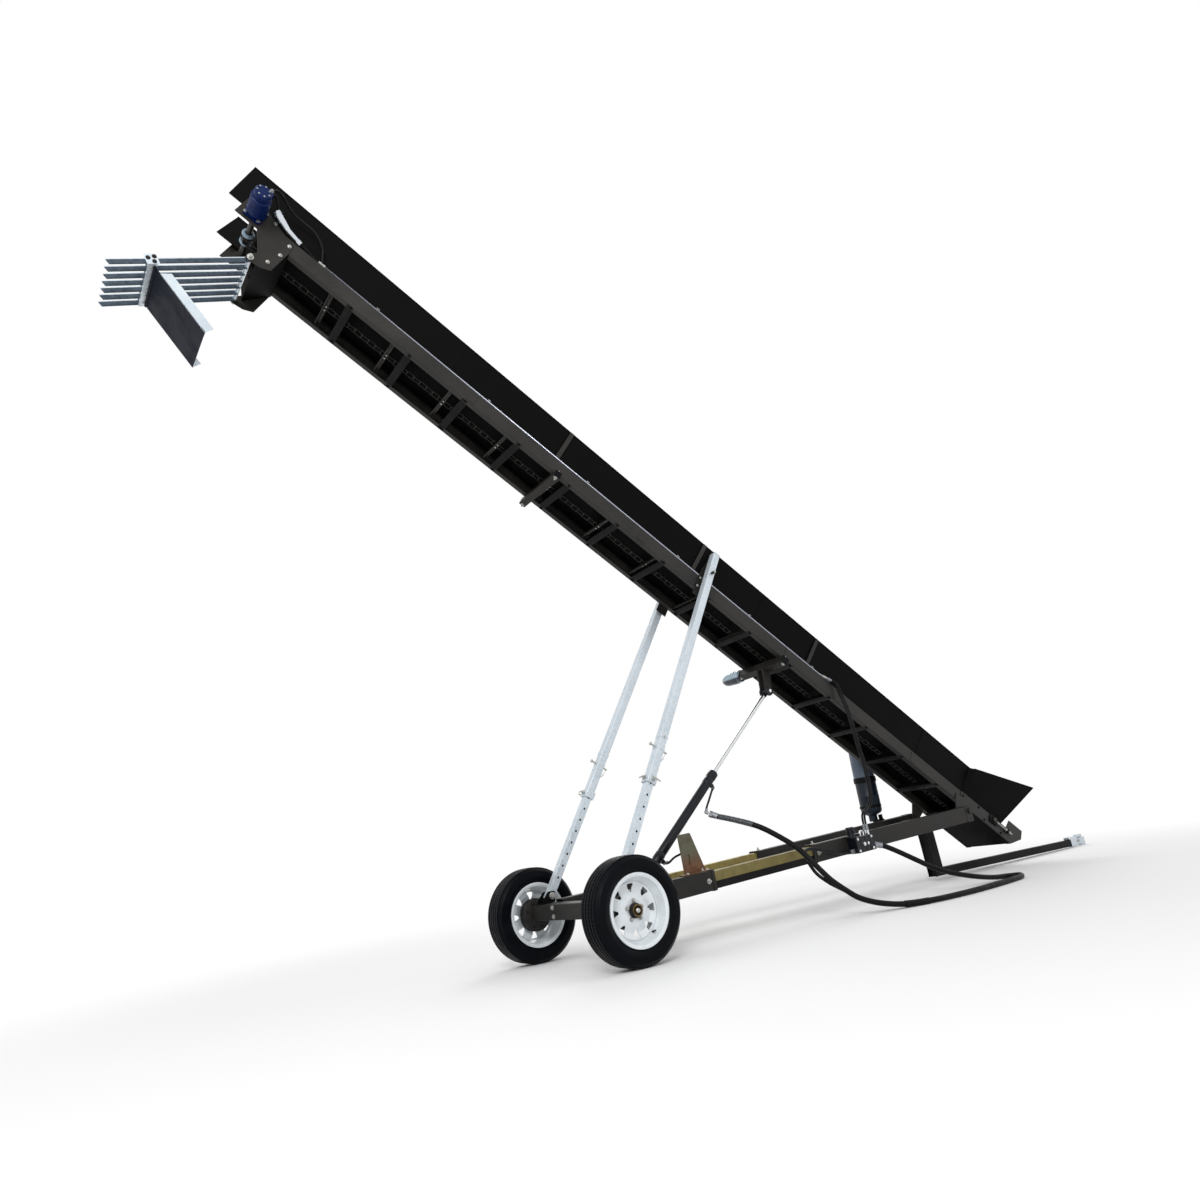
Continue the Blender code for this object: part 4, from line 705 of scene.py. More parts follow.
def tone_by_height(finish, place, low, high):
    """Let a finish's paint turn from one tone to another over a height, in the frame of place.

    low and high are each a height and a screen colour."""
    tree = finish.node_tree
    coordinates = tree.nodes.new("ShaderNodeTexCoord")
    in_frame = tree.nodes.new("ShaderNodeMapping")
    in_frame.vector_type = "TEXTURE"
    set_inputs(in_frame, {"Location": place.to_translation(), "Rotation": place.to_euler()})
    parts = tree.nodes.new("ShaderNodeSeparateXYZ")
    run = tree.nodes.new("ShaderNodeMapRange")
    set_inputs(run, {"From Min": low[0], "From Max": high[0]})
    tone = tree.nodes.new("ShaderNodeMix")
    tone.data_type = "RGBA"
    tone.inputs["A"].default_value = linear(*low[1])
    tone.inputs["B"].default_value = linear(*high[1])
    surface = next(node for node in tree.nodes if node.type == "GROUP")
    wire_up(tree, ((coordinates, "Object", in_frame, "Vector"), (in_frame, "Vector", parts, "Vector"),
                   (parts, "Z", run, "Value"), (run, "Result", tone, "Factor"),
                   (tone, "Result", surface, "Paint")))


def rail_in(bm, size, wall, start_x, end_x, y, drop=0.0, corner=0.008):
    """Add one of the rails' tubes between two places along the chassis."""
    z = RAIL_MIDDLE_Z - drop
    tube_in(bm, *size, wall, (start_x, y, z), (end_x, y, z), corner=corner)


# Painted shade: the near inner rail's dusty gold turns black below a height, standing in for the shade on its
# lower half.
PASSIVATED_PAINTED_SHADE = worn_finish("passivated_painted_shade", (118, 108, 66), (26, 24, 18), 0.2, 16.0,
                              0.45, 0.25, metal=0.15, bump=0.1, specular=0.2)
tone_by_height(PASSIVATED_PAINTED_SHADE, CHASSIS, (0.01, (4, 4, 4)), (0.0125, (118, 108, 66)))
rail_bolts = bmesh.new()
for side, sign in SIGN.items():
    rail_y = sign * RAIL_MIDDLE_Y
    rear_bm = bmesh.new()
    rail_in(rear_bm, RAIL_SIZE, 0.005, 0.0503, 0.84, rail_y)
    rail_in(rear_bm, COLLAR_SIZE, 0.0035, 0.816, 0.84, rail_y)
    piece(f"rear_rail_{side}_tube", rear_bm, CHASSIS, FRAME_GREY, "chassis", 0.0007, (f"rear_rail_{side}",))
    inner_bm = bmesh.new()
    rail_in(inner_bm, INNER_SIZE, 0.005, 0.55, 2.05, rail_y, INNER_DROP, 0.007)
    piece(f"inner_rail_{side}_tube", inner_bm, CHASSIS, PASSIVATED_PAINTED_SHADE if side == "left" else PASSIVATED,
          "chassis", 0.0007, (f"inner_rail_{side}",))
    front_bm = bmesh.new()
    rail_in(front_bm, RAIL_SIZE, 0.005, 1.76, 3.64, rail_y)
    block_in(front_bm, (0.086, 0.084, 0.124), (3.677, rail_y, RAIL_MIDDLE_Z))
    bar_in(front_bm, 0.016, (PIVOT_X, rail_y, PIVOT_HEIGHT), (PIVOT_X, sign * 0.18, PIVOT_HEIGHT), 28)
    bar_in(front_bm, 0.022, (PIVOT_X, sign * 0.311, PIVOT_HEIGHT), (PIVOT_X, sign * 0.325, PIVOT_HEIGHT), 6)
    rail_in(front_bm, COLLAR_SIZE, 0.0035, 1.76, 1.784, rail_y)
    piece(f"front_rail_{side}_tube", front_bm, CHASSIS, FRAME_GREY, "chassis", 0.0012,
          (f"front_rail_{side}",))
    for x in (0.785, 1.815):
        bolt_in(rail_bolts, (x, rail_y, RAIL_MIDDLE_Z + 0.06), EZ, 0.011, reach=0.012)
        bolt_in(rail_bolts, (x, rail_y + sign * 0.04, RAIL_MIDDLE_Z), EY * sign, 0.011, reach=0.01)
piece("rail_clamp_bolts", rail_bolts, CHASSIS, BOLT_ZINC, "chassis", 0.0006)


# Cross member for the lift cylinder: a flat box beam between the rear rails with two ears and a pin.
# It is painted like the rails.
def dress(finish, *names):
    """Give CAD nodes that keep their shape the right finish."""
    for name in names:
        nodes[name].data.materials.clear()
        nodes[name].data.materials.append(finish)


dress(FRAME_GREY, "cylinder_cross_member")
FOOT_PIN_X, FOOT_PIN_Z = 0.4625, 0.047
pin_bm = bmesh.new()
for sign in SIGN.values():
    for radius, start, end, sides in ((0.019, 0.0332, 0.0362, 24), (0.0125, 0.036, 0.045, 20)):
        bar_in(pin_bm, radius, (FOOT_PIN_X, sign * start, FOOT_PIN_Z), (FOOT_PIN_X, sign * end, FOOT_PIN_Z),
               sides)
    block_in(pin_bm, (0.003, 0.003, 0.04), (FOOT_PIN_X, sign * 0.0405, FOOT_PIN_Z))
piece("cylinder_foot_pin", pin_bm, CHASSIS, BOLT_ZINC, "chassis", 0.0006)


# Drawbar: a square tube that runs level under the tail to a galvanised ball coupler.
# A black drop bracket under the front cross member carries it.
def zinc_surface():
    """Hot dip zinc: a frozen spangle of grey-blue crystals with faint streaks."""
    group, given, result = new_group(
        "zinc_spangle", {"Scale": 60.0, "Roughness": 0.35, "Light": (0.5, 0.5, 0.5, 1),
                         "Dark": (0.5, 0.5, 0.5, 1)}, ("Color", "Roughness", "Height"))
    place = group.nodes.new("ShaderNodeTexCoord")
    crystals = group.nodes.new("ShaderNodeTexVoronoi")
    grey = group.nodes.new("ShaderNodeRGBToBW")
    streaks = group.nodes.new("ShaderNodeTexNoise")
    set_inputs(streaks, {"Scale": 5.0, "Detail": 7.0})
    both = math_node(group, "MULTIPLY_ADD")
    both.inputs[1].default_value = 0.45
    blend = group.nodes.new("ShaderNodeMix")
    blend.data_type = "RGBA"
    rough = math_node(group, "MULTIPLY_ADD")
    rough.inputs[1].default_value = 0.18
    wire_up(group, ((place, "Object", crystals, "Vector"), (given, "Scale", crystals, "Scale"),
                    (crystals, "Color", grey, "Color"), (place, "Object", streaks, "Vector"),
                    (grey, "Val", both, 0), (streaks, "Fac", both, 2), (both, "Value", blend, "Factor"),
                    (given, "Light", blend, "A"), (given, "Dark", blend, "B"), (grey, "Val", rough, 0),
                    (given, "Roughness", rough, 2), (blend, "Result", result, "Color"),
                    (rough, "Value", result, "Roughness"), (grey, "Val", result, "Height")))
    return group


SPANGLE = zinc_surface()


def zinc_finish(name, light, dark, scale, rough, metal=0.75):
    """A finish built on the zinc group; light and dark are its crystals' screen colours."""
    material, shader = group_finish(name, SPANGLE, {
        "Scale": scale, "Roughness": rough, "Light": linear(*light), "Dark": linear(*dark)}, 0.08, 0.0005)
    set_inputs(shader, {"Metallic": metal})
    return material


GALVANISED = zinc_finish("galvanised", (226, 234, 240), (192, 202, 210), 70.0, 0.3, 0.35)
dress(FRAME_BLACK, "drawbar_bracket", "drawbar")
dress(GALVANISED, "coupler")
WORLD = Matrix.Identity(4)
bar_low, bar_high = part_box("drawbar")
cup_low, cup_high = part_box("coupler")
cup_x = cup_high.x - 0.036
cup_z = (cup_low.z + cup_high.z) / 2
hitch_bm = bmesh.new()
handle = rounded([(-0.066, 0.0), (0.034, 0.0), (0.046, 0.014), (0.028, 0.022), (-0.052, 0.022)], 0.006)
sheet_in(hitch_bm, handle, 0.034, (cup_x - 0.03, 0, cup_high.z - 0.02))
cheek = rounded([(-0.11, -0.024), (0.02, -0.03), (0.02, 0.006), (-0.11, 0.02)], 0.008)
cheek_slot = [(-0.084, -0.008), (-0.05, -0.008), (-0.05, 0.002), (-0.084, 0.002)]
for offset in (-0.019, 0.019):
    sheet_in(hitch_bm, cheek, 0.003, (cup_x - 0.045, offset * 1.42, cup_z - 0.004), holes=[cheek_slot])
piece("coupler_latch", hitch_bm, WORLD, GALVANISED, "chassis", 0.0008)
sleeve_bm = bmesh.new()
bar_z = (bar_low.z + bar_high.z) / 2
tube_in(sleeve_bm, (bar_high.y - bar_low.y) + 0.009, (bar_high.z - bar_low.z) + 0.009, 0.004,
        (bar_high.x - 0.095, 0, bar_z), (bar_high.x + 0.004, 0, bar_z), corner=0.006)
piece("coupler_sleeve", sleeve_bm, WORLD, GALVANISED, "chassis", 0.0008)
hitch_bolts = bmesh.new()
for x in (cup_x - 0.118, cup_x - 0.088):
    for sign in SIGN.values():
        bolt_in(hitch_bolts, (x, sign * 0.029, cup_z - 0.002), EY * sign, 0.0085)
piece("coupler_bolts", hitch_bolts, WORLD, BOLT_ZINC, "chassis", 0.0005)


# Boom frame: two folded steel channels, open inwards, tied by angle bars bolted on underneath.
# Joint straps are welded on the channels' outer webs.
BOARD_BLACK = worn_finish("board_black", (5, 5, 5), (17, 17, 16), 0.3, 2.6, 0.55, 0.18,
                          bump=0.12, specular=0.06)
CHANNEL_GREY = worn_finish("channel_grey", (38, 37, 36), (66, 64, 59), 0.45, 2.2, 0.4,
                           0.22, bump=0.12, specular=0.2)
CHANNEL_TOP, CHANNEL_FACE, HEAD_END, TAIL_END, STEEL = 0.106, 0.21, -6.64, 0.71, 0.004
CROSS_AT_X, CROSS_PITCH, CROSS_COUNT = -0.29, 0.4415, 16
for side, sign in SIGN.items():
    channel_bm = bmesh.new()
    face, lip = CHANNEL_FACE, CHANNEL_FACE - 0.04
    web, top = face - STEEL, CHANNEL_TOP - STEEL
    section = [(face, 0.004), (face - 0.004, 0.0), (lip, 0.0), (lip, STEEL), (web - 0.002, STEEL),
               (web, STEEL + 0.002), (web, top - 0.002), (web - 0.002, top), (lip, top), (lip, CHANNEL_TOP),
               (face - 0.004, CHANNEL_TOP), (face, CHANNEL_TOP - 0.004)]
    if sign < 0:
        section = [(-y, z) for y, z in reversed(section)]
    sheet_in(channel_bm, section, TAIL_END - HEAD_END, ((TAIL_END + HEAD_END) / 2, 0, 0), EY, EZ)
    for x in (-5.12, -3.62, -2.12, -0.62):
        block_in(channel_bm, (0.06, 0.003, CHANNEL_TOP - 0.02), (x, sign * (face + 0.0012), CHANNEL_TOP / 2))
    piece(f"channel_{side}", channel_bm, BOOM, CHANNEL_GREY, "boom", 0.0008,
          ("boom_frame",) if side == "left" else ())
cross_bm = bmesh.new()
cross_bolts = bmesh.new()
angle_bar = rounded([(-0.025, 0.0), (0.025, 0.0), (0.025, 0.006), (-0.019, 0.006), (-0.019, 0.034),
                     (-0.025, 0.034)], 0.0015, 2)
for k in range(CROSS_COUNT):
    x = CROSS_AT_X + CROSS_PITCH * (2 - k)
    sheet_in(cross_bm, angle_bar, 2 * (CHANNEL_FACE - STEEL), (x, 0, 0))
    for sign in SIGN.values():
        bolt_in(cross_bolts, (x + 0.004, sign * 0.19, 0.0), -EZ, 0.008)
piece("boom_cross_members", cross_bm, BOOM, FRAME_BLACK, "boom")
piece("cross_member_bolts", cross_bolts, BOOM, FRAME_BLACK, "boom")


# Trough: the floor pan the chain scrapes along, two leaning side boards and the flared hopper wings.
# They are thin black sheet, bolted to the channels. A round hem stiffens each board's top edge, and
# pale straps cover the joints of its sheets.
dress(BOARD_BLACK, "floor_pan", "side_board_left", "side_board_right", "hopper_wing_left",
      "hopper_wing_right", "chute_plate")
BOARD_LEAN = math.atan2(0.05, 0.254)
BOARD_BOLTS, BOARD_BOLT_PITCH = 17, 0.42
rib_view = [(-0.02, 0.0), (0.02, 0.0), (0.02, 0.232), (-0.02, 0.232)]
strap_view = rounded([(-0.016, 0.0), (0.016, 0.0), (0.016, 0.224), (-0.016, 0.224)], 0.003)
board_bolts = bmesh.new()
for side, sign in SIGN.items():
    lift = Vector((0, sign * math.sin(BOARD_LEAN), math.cos(BOARD_LEAN)))
    out = Vector((0, sign * math.cos(BOARD_LEAN), -math.sin(BOARD_LEAN)))
    foot = Vector((0, sign * 0.178, 0.1073))
    hem_bm = bmesh.new()
    crest = foot + lift * 0.252
    bar_in(hem_bm, 0.005, crest + EX * -6.94, crest + EX * 0.05, 14)
    rib_foot = foot + lift * 0.012 + out * 0.003
    for x in (-5.35, -2.48, -0.56):
        sheet_in(hem_bm, rib_view, 0.003, rib_foot + EX * x, EX, lift)
    strap_bm = bmesh.new()
    strap_foot = foot + lift * 0.026 + out * 0.013
    for x in (-4.43, -3.14, -1.905):
        sheet_in(strap_bm, strap_view, 0.003, strap_foot + EX * x, EX, lift)
    piece(f"board_straps_{side}", strap_bm, BOOM, CHANNEL_GREY, "boom", 0.0006)
    foot_strip = foot + lift * 0.01 + out * 0.003
    block_in(hem_bm, (6.96, 0.0025, 0.018), foot_strip + EX * -3.445,
             Matrix((EX, out * sign, lift)).transposed())
    piece(f"board_hem_{side}", hem_bm, BOOM, BOARD_BLACK, "boom", 0.0006)
    for k in range(BOARD_BOLTS):
        bolt_in(board_bolts, foot_strip + EX * (-6.72 + BOARD_BOLT_PITCH * k) + out * 0.001, out, 0.0065)
    wing_lift = Vector((0, sign * 0.38, 0.92)).normalized()
    wing_bm = bmesh.new()
    corners = [foot + EX * 0.575 + wing_lift * 0.004, foot + EX * 0.735 + wing_lift * 0.468,
               foot + EX * 0.056 + wing_lift * 0.253]
    for start, end in zip(corners, corners[1:]):
        bar_in(wing_bm, 0.0045, start, end, 12)
    for corner in corners:
        bmesh.ops.create_uvsphere(wing_bm, u_segments=12, v_segments=8, radius=0.0045,
                                  matrix=Matrix.Translation(corner))
    piece(f"wing_hem_{side}", wing_bm, BOOM, BOARD_BLACK, "boom")
    gusset_bm = bmesh.new()
    gusset = [foot + EX * 0.04 + out * 0.001, foot + lift * 0.25 + EX * 0.04 + out * 0.001,
              foot + wing_lift * 0.258 + EX * 0.066 + out * 0.003, foot + EX * 0.066 + out * 0.003]
    front_ring = [gusset_bm.verts.new(corner) for corner in gusset]
    back_ring = [gusset_bm.verts.new(corner + out * 0.003) for corner in gusset]
    gusset_bm.faces.new(front_ring)
    gusset_bm.faces.new(list(reversed(back_ring)))
    for k in range(4):
        gusset_bm.faces.new([front_ring[k], back_ring[k], back_ring[(k + 1) % 4], front_ring[(k + 1) % 4]])
    piece(f"wing_gusset_{side}", gusset_bm, BOOM, BOARD_BLACK, "boom", 0.0005)
piece("board_bolts", board_bolts, BOOM, FRAME_BLACK, "boom")
pan_bm = bmesh.new()
block_in(pan_bm, (0.6, 2 * CHANNEL_FACE - 0.012, 0.002), (0.4, 0, -0.0012))
sheet_in(pan_bm, [(0.69, -0.0012), (0.692, -0.0012), (0.706, 0.03), (0.704, 0.03)], 2 * CHANNEL_FACE - 0.014,
         (0, 0, 0))
piece("tail_pan", pan_bm, BOOM, BOARD_BLACK, "boom")


# Tail plates: side cheeks round the tail shaft with a slot for its tensioner.
# A threaded rod, a block and a nut pull the shaft back to tighten the chain.
dress(CHANNEL_GREY, "tail_plate_left", "tail_plate_right")
STEEL_SHAFT = worn_finish("shaft_steel", (70, 68, 66), (40, 36, 32), 0.5, 20.0, 0.35, 0.3,
                          metal=0.7)
dress(STEEL_SHAFT, "tail_shaft")
CHAIN_RADIUS, TAIL_SHAFT_X = 0.033, 0.44
SHAFT_HEIGHT = 0.1083 - CHAIN_RADIUS
for side, sign in SIGN.items():
    outer = CHANNEL_FACE + 0.0043
    rod_y = sign * (outer + 0.014)
    tension_bm = bmesh.new()
    rod_parts = [(0.006, 0.48, 0.69, 16)]
    rod_parts += [(0.007, 0.5 + 0.0055 * k, 0.5025 + 0.0055 * k, 12) for k in range(34)]
    rod_parts += [(0.013, x, x + 0.01, 6) for x in (0.6, 0.65)]
    for radius, start_x, end_x, sides in rod_parts:
        bar_in(tension_bm, radius, (start_x, rod_y, SHAFT_HEIGHT), (end_x, rod_y, SHAFT_HEIGHT), sides)
    piece(f"tensioner_{side}", tension_bm, BOOM, BOLT_ZINC, "boom")
    bearing_bm = bmesh.new()
    sheet_in(bearing_bm, rounded(oblong(0.052, 0.034), 0.014), 0.01,
             (TAIL_SHAFT_X, sign * (outer + 0.0055), SHAFT_HEIGHT), holes=[ring_of((0.0, 0.0), 0.0185, 24)])
    turned_in(bearing_bm, [(0.0188, 0.008), (0.03, 0.008), (0.028, 0.019), (0.0188, 0.021)],
              (TAIL_SHAFT_X, sign * (outer - 0.001), SHAFT_HEIGHT), EY * sign, 32)
    block_in(bearing_bm, (0.02, 0.024, 0.032), (0.625, sign * (outer + 0.0125), SHAFT_HEIGHT))
    for x, z in ((0.03, 0.076), (0.24, 0.086), (0.33, 0.02), (0.56, 0.02)):
        bolt_in(bearing_bm, (x, sign * outer, z), EY * sign, 0.008)
    piece(f"tail_bearing_{side}", bearing_bm, BOOM, FRAME_BLACK, "boom", 0.0008)


# Head plates: cheeks that carry the head shaft, the motor and the grate's hinge.
# A four-bolt flange bearing sits on the far one, and the motor's adapter on the near one.
HEAD_GREY = worn_finish("head_grey", (36, 35, 33), (62, 59, 53), 0.4, 5.0, 0.42, 0.2,
                        bump=0.12, specular=0.2)
dress(HEAD_GREY, "head_plate_left", "head_plate_right")
HEAD_SHAFT_X, HINGE_X, HINGE_Z = -6.75, -6.6, -0.205
head_trim = bmesh.new()
outer = CHANNEL_FACE + 0.0066
for sign in SIGN.values():
    for x, z in ((-6.5, 0.05), (-6.5, -0.05), (-6.52, -0.15), (-6.8, 0.145), (-6.64, 0.12)):
        bolt_in(head_trim, (x, sign * outer, z), EY * sign, 0.0085)
    for radius, start, end, sides in ((0.02, 0.0, 0.006, 28), (0.011, 0.005, 0.024, 20)):
        bar_in(head_trim, radius, (HINGE_X, sign * (outer + start), HINGE_Z),
               (HINGE_X, sign * (outer + end), HINGE_Z), sides)
bar_in(head_trim, 0.042, (HEAD_SHAFT_X, 0.2166, SHAFT_HEIGHT), (HEAD_SHAFT_X, 0.233, SHAFT_HEIGHT), 32, 0.034)
piece("head_bolts", head_trim, BOOM, BOLT_ZINC, "boom", 0.0006)
flange_bm = bmesh.new()
sheet_in(flange_bm, rounded(oblong(0.058, 0.058), 0.018), 0.01, (HEAD_SHAFT_X, 0.222, SHAFT_HEIGHT))
piece("head_bearing", flange_bm, BOOM, FRAME_BLACK, "boom", 0.001)


# Drag chain: plates and rollers on a loop over both shafts, with steel flights every 0.46 m.
# The flights push the logs up the trough and come back under the floor pan.
CHAIN_STEEL = worn_finish("chain_steel", (40, 38, 36), (30, 24, 20), 0.6, 30.0, 0.5, 0.25,
                          metal=0.4, bump=0.3)
span = TAIL_SHAFT_X - HEAD_SHAFT_X
turn_length = math.pi * CHAIN_RADIUS
loop_length = 2 * (span + turn_length)


def chain_place(distance):
    """A place on the loop and the way out from it."""
    distance %= loop_length
    if distance < span:
        return Vector((HEAD_SHAFT_X + distance, 0, CHAIN_RADIUS)), EZ.copy()
    distance -= span
    if distance < turn_length:
        out = Vector((math.sin(distance / CHAIN_RADIUS), 0, math.cos(distance / CHAIN_RADIUS)))
        return Vector((TAIL_SHAFT_X, 0, 0)) + out * CHAIN_RADIUS, out
    distance -= turn_length
    if distance < span:
        return Vector((TAIL_SHAFT_X - distance, 0, -CHAIN_RADIUS)), -EZ
    angle = (distance - span) / CHAIN_RADIUS
    out = Vector((-math.sin(angle), 0, -math.cos(angle)))
    return Vector((HEAD_SHAFT_X, 0, 0)) + out * CHAIN_RADIUS, out


LINKS, FLIGHTS, TEETH_POINTS = 288, 32, 24
link_bm = bmesh.new()
link_shape = rounded(oblong(0.0295, 0.0058), 0.0056, 2)
for k in range(LINKS):
    here, _ = chain_place(loop_length * k / LINKS)
    there, _ = chain_place(loop_length * (k + 1) / LINKS)
    along = (there - here).normalized()
    middle = (here + there) / 2 + EZ * SHAFT_HEIGHT
    for y in ((0.0205, -0.0205) if k % 2 else (0.016, -0.016)):
        sheet_in(link_bm, link_shape, 0.0035, middle + EY * y, along, along.cross(EY) * -1)
    bar_in(link_bm, 0.0042, here + EZ * SHAFT_HEIGHT - EY * 0.0245, here + EZ * SHAFT_HEIGHT + EY * 0.0245, 8)
piece("drag_chain_links", link_bm, BOOM, CHAIN_STEEL, "boom", replaces=("drag_chain",))
flight_bm = bmesh.new()
flight_bolts = bmesh.new()
flight_view = [(-0.003, 0.0), (0.022, 0.0), (0.022, 0.004), (0.003, 0.004), (0.003, 0.0245), (-0.003, 0.0245)]
for k in range(FLIGHTS):
    here, out = chain_place(loop_length * (k + 0.5) / FLIGHTS)
    along = out.cross(EY)
    base = here + out * 0.0062 + EZ * SHAFT_HEIGHT
    sheet_in(flight_bm, flight_view, 0.33, base, along, out)
    for y in (-0.018, 0.018):
        bolt_in(flight_bolts, base + EY * y + along * 0.013 + out * 0.004, out, 0.0055, washer=False)
piece("flights", flight_bm, BOOM, CHAIN_STEEL, "boom")
piece("flight_bolts", flight_bolts, BOOM, BOLT_ZINC, "boom")
dress(STEEL_SHAFT, "head_shaft")
wheel_bm = bmesh.new()
for x in (HEAD_SHAFT_X, TAIL_SHAFT_X):
    for y in (-0.007, 0.007):
        teeth = []
        for k in range(TEETH_POINTS):
            reach, angle = 0.03 if k % 3 else 0.0255, math.tau * k / TEETH_POINTS
            teeth.append((reach * math.cos(angle), reach * math.sin(angle)))
        sheet_in(wheel_bm, teeth, 0.008, (x, y, SHAFT_HEIGHT))
piece("chain_wheels", wheel_bm, BOOM, STEEL_SHAFT, "boom")
DISC_BLUE = worn_finish("disc_blue_grey", (136, 156, 172), (84, 96, 108), 0.35, 14.0, 0.35, 0.2,
                        metal=0.2)
disc_bm = bmesh.new()
for sign in SIGN.values():
    turned_in(disc_bm, [(0.0205, 0.029), (0.035, 0.029), (0.0372, 0.0312), (0.0372, 0.039), (0.0345, 0.042),
                        (0.03, 0.042), (0.027, 0.048), (0.0205, 0.048)],
              (HEAD_SHAFT_X, 0, SHAFT_HEIGHT), EY * sign, 40)
piece("chain_wheel_discs", disc_bm, BOOM, DISC_BLUE, "boom", 0.0006)


# Motor: a blue gerotor motor bolted to the near head plate, made of ground discs held by seven bolts.
# Two silver fittings stand on its port block, and its hoses run down to the steel pipes.
MOTOR_BLUE = worn_finish("motor_blue_paint", (0, 24, 76), (4, 16, 42), 0.35, 20.0, 0.36,
                         0.2, specular=0.15, coat=0.06)
MOTOR_STEEL = worn_finish("motor_steel", (150, 154, 160), (90, 92, 96), 0.4, 30.0, 0.3, 0.2,
                          metal=0.8)
motor_bm = bmesh.new()
motor_face = Vector((HEAD_SHAFT_X, -0.2166, SHAFT_HEIGHT))
sheet_in(motor_bm, rounded(oblong(0.055, 0.055), 0.014), 0.018, motor_face + EY * -0.0095)
turned_in(motor_bm, [(0.0, 0.01), (0.05, 0.01), (0.052, 0.03), (0.06, 0.034), (0.06, 0.074),
                     (0.057, 0.075), (0.057, 0.077), (0.06, 0.078), (0.06, 0.1), (0.057, 0.101),
                     (0.057, 0.103), (0.06, 0.104), (0.06, 0.148), (0.048, 0.152), (0.048, 0.172),
                     (0.046, 0.173), (0.046, 0.175), (0.048, 0.176), (0.048, 0.194), (0.044, 0.2),
                     (0.0, 0.2)], motor_face, -EY, 48)
block_in(motor_bm, (0.066, 0.07, 0.036), motor_face + Vector((0, -0.11, 0.064)))
piece("hydraulic_motor_body", motor_bm, BOOM, MOTOR_BLUE, "boom", 0.0014, ("hydraulic_motor",))
motor_steel_bm = bmesh.new()
for k in range(7):
    angle = math.tau * k / 7
    centre = motor_face + Vector((0.036 * math.cos(angle), -0.2, 0.036 * math.sin(angle)))
    bar_in(motor_steel_bm, 0.0062, centre, centre + EY * -0.005, 6)
for k in range(4):
    centre = motor_face + Vector((0.043 * (1 if k % 2 else -1), -0.0185, 0.043 * (1 if k > 1 else -1)))
    bolt_in(motor_steel_bm, centre, -EY, 0.0085)
PORTS = (-0.128, -0.092)
for y in PORTS:
    seat = motor_face + Vector((0, y, 0.081))
    bar_in(motor_steel_bm, 0.015, seat, seat + EZ * 0.01, 6)
    bar_in(motor_steel_bm, 0.0105, seat + EZ * 0.009, seat + EZ * 0.022, 20)
    bar_in(motor_steel_bm, 0.013, seat + EZ * 0.02, seat + Vector((0.006, 0, 0.034)), 6)
piece("motor_fittings", motor_steel_bm, BOOM, MOTOR_STEEL, "boom", 0.0006)


# Steel pipes: two oil lines on the ledge of the near channel, held by small clamps.
# Short hoses join them to the motor, and swaged couplings join them to the hoses below.
CHROME_BRIGHT = worn_finish("bright_adapter", (214, 220, 226), (160, 166, 172), 0.3, 30.0,
                            0.18, 0.15, metal=0.9, bump=0.04)
PIPE_STEEL = worn_finish("pipe_steel", (168, 172, 184), (96, 98, 104), 0.35, 30.0, 0.2, 0.2,
                         metal=0.85)
INNER_PIPE_Y, OUTER_PIPE_Y, PIPE_Z, CLAMP_Y = -0.1885, -0.204, 0.1123, -0.1965
for hose_name, pipe_y, port_y, reach, middle in (
        ("inner", INNER_PIPE_Y, PORTS[1], (0.03, -0.004, 0.01),
         ((-6.64, -0.25, 0.15), (-6.56, -0.238, 0.122), (-6.42, -0.212, 0.116))),
        ("outer", OUTER_PIPE_Y, PORTS[0], (0.036, -0.008, 0.02),
         ((-6.6, -0.262, 0.232), (-6.46, -0.252, 0.236), (-6.37, -0.236, 0.196), (-6.325, -0.215, 0.14)))):
    line = [(-6.3, pipe_y, PIPE_Z), (-1.78, pipe_y, PIPE_Z), (-1.74, pipe_y - 0.005, 0.1145),
            (-1.7, pipe_y - 0.012, 0.1183)]
    line_obj = swept(f"pipe_{hose_name}_line", [BOOM @ Vector(p) for p in line], 0.006, PIPE_STEEL, "boom")
    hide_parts(f"pipe_{hose_name}")
    port = motor_face + Vector((0.006, port_y, 0.115))
    lead = smooth_route([port, port + Vector(reach), *middle, line[0]], 0.012)
    swept(f"motor_hose_{hose_name}", [BOOM @ p for p in lead], 0.0078, HOSE_RUBBER, "boom")
adapter_bm = bmesh.new()
bar_in(adapter_bm, 0.024, (-6.672, -0.262, 0.158), (-6.56, -0.238, 0.122), 32, 0.016)
bar_in(adapter_bm, 0.016, (-6.562, -0.2384, 0.1226), (-6.47, -0.2215, 0.117), 24, 0.0115)
bar_in(adapter_bm, 0.015, (-6.492, -0.2255, 0.1182), (-6.466, -0.2208, 0.1168), 6)
piece("motor_adapter", adapter_bm, BOOM, CHROME_BRIGHT, "boom", 0.0008)
pipe_fit = bmesh.new()
for pipe_y in (INNER_PIPE_Y, OUTER_PIPE_Y):
    bar_in(pipe_fit, 0.0098, (-6.33, pipe_y, PIPE_Z), (-6.285, pipe_y, PIPE_Z), 6)
    bar_in(pipe_fit, 0.0092, (-1.745, pipe_y - 0.004, 0.1142), (-1.702, pipe_y - 0.0118, 0.1182), 6)
for clamp_x in (-5.9, -5.02, -4.16, -3.3, -2.56, -1.86):
    block_in(pipe_fit, (0.022, 0.038, 0.003), (clamp_x, CLAMP_Y, PIPE_Z + 0.0072))
    bolt_in(pipe_fit, (clamp_x, CLAMP_Y, PIPE_Z + 0.0085), EZ, 0.0048, washer=False)
piece("pipe_clamps", pipe_fit, BOOM, BOLT_ZINC, "boom", 0.0004)


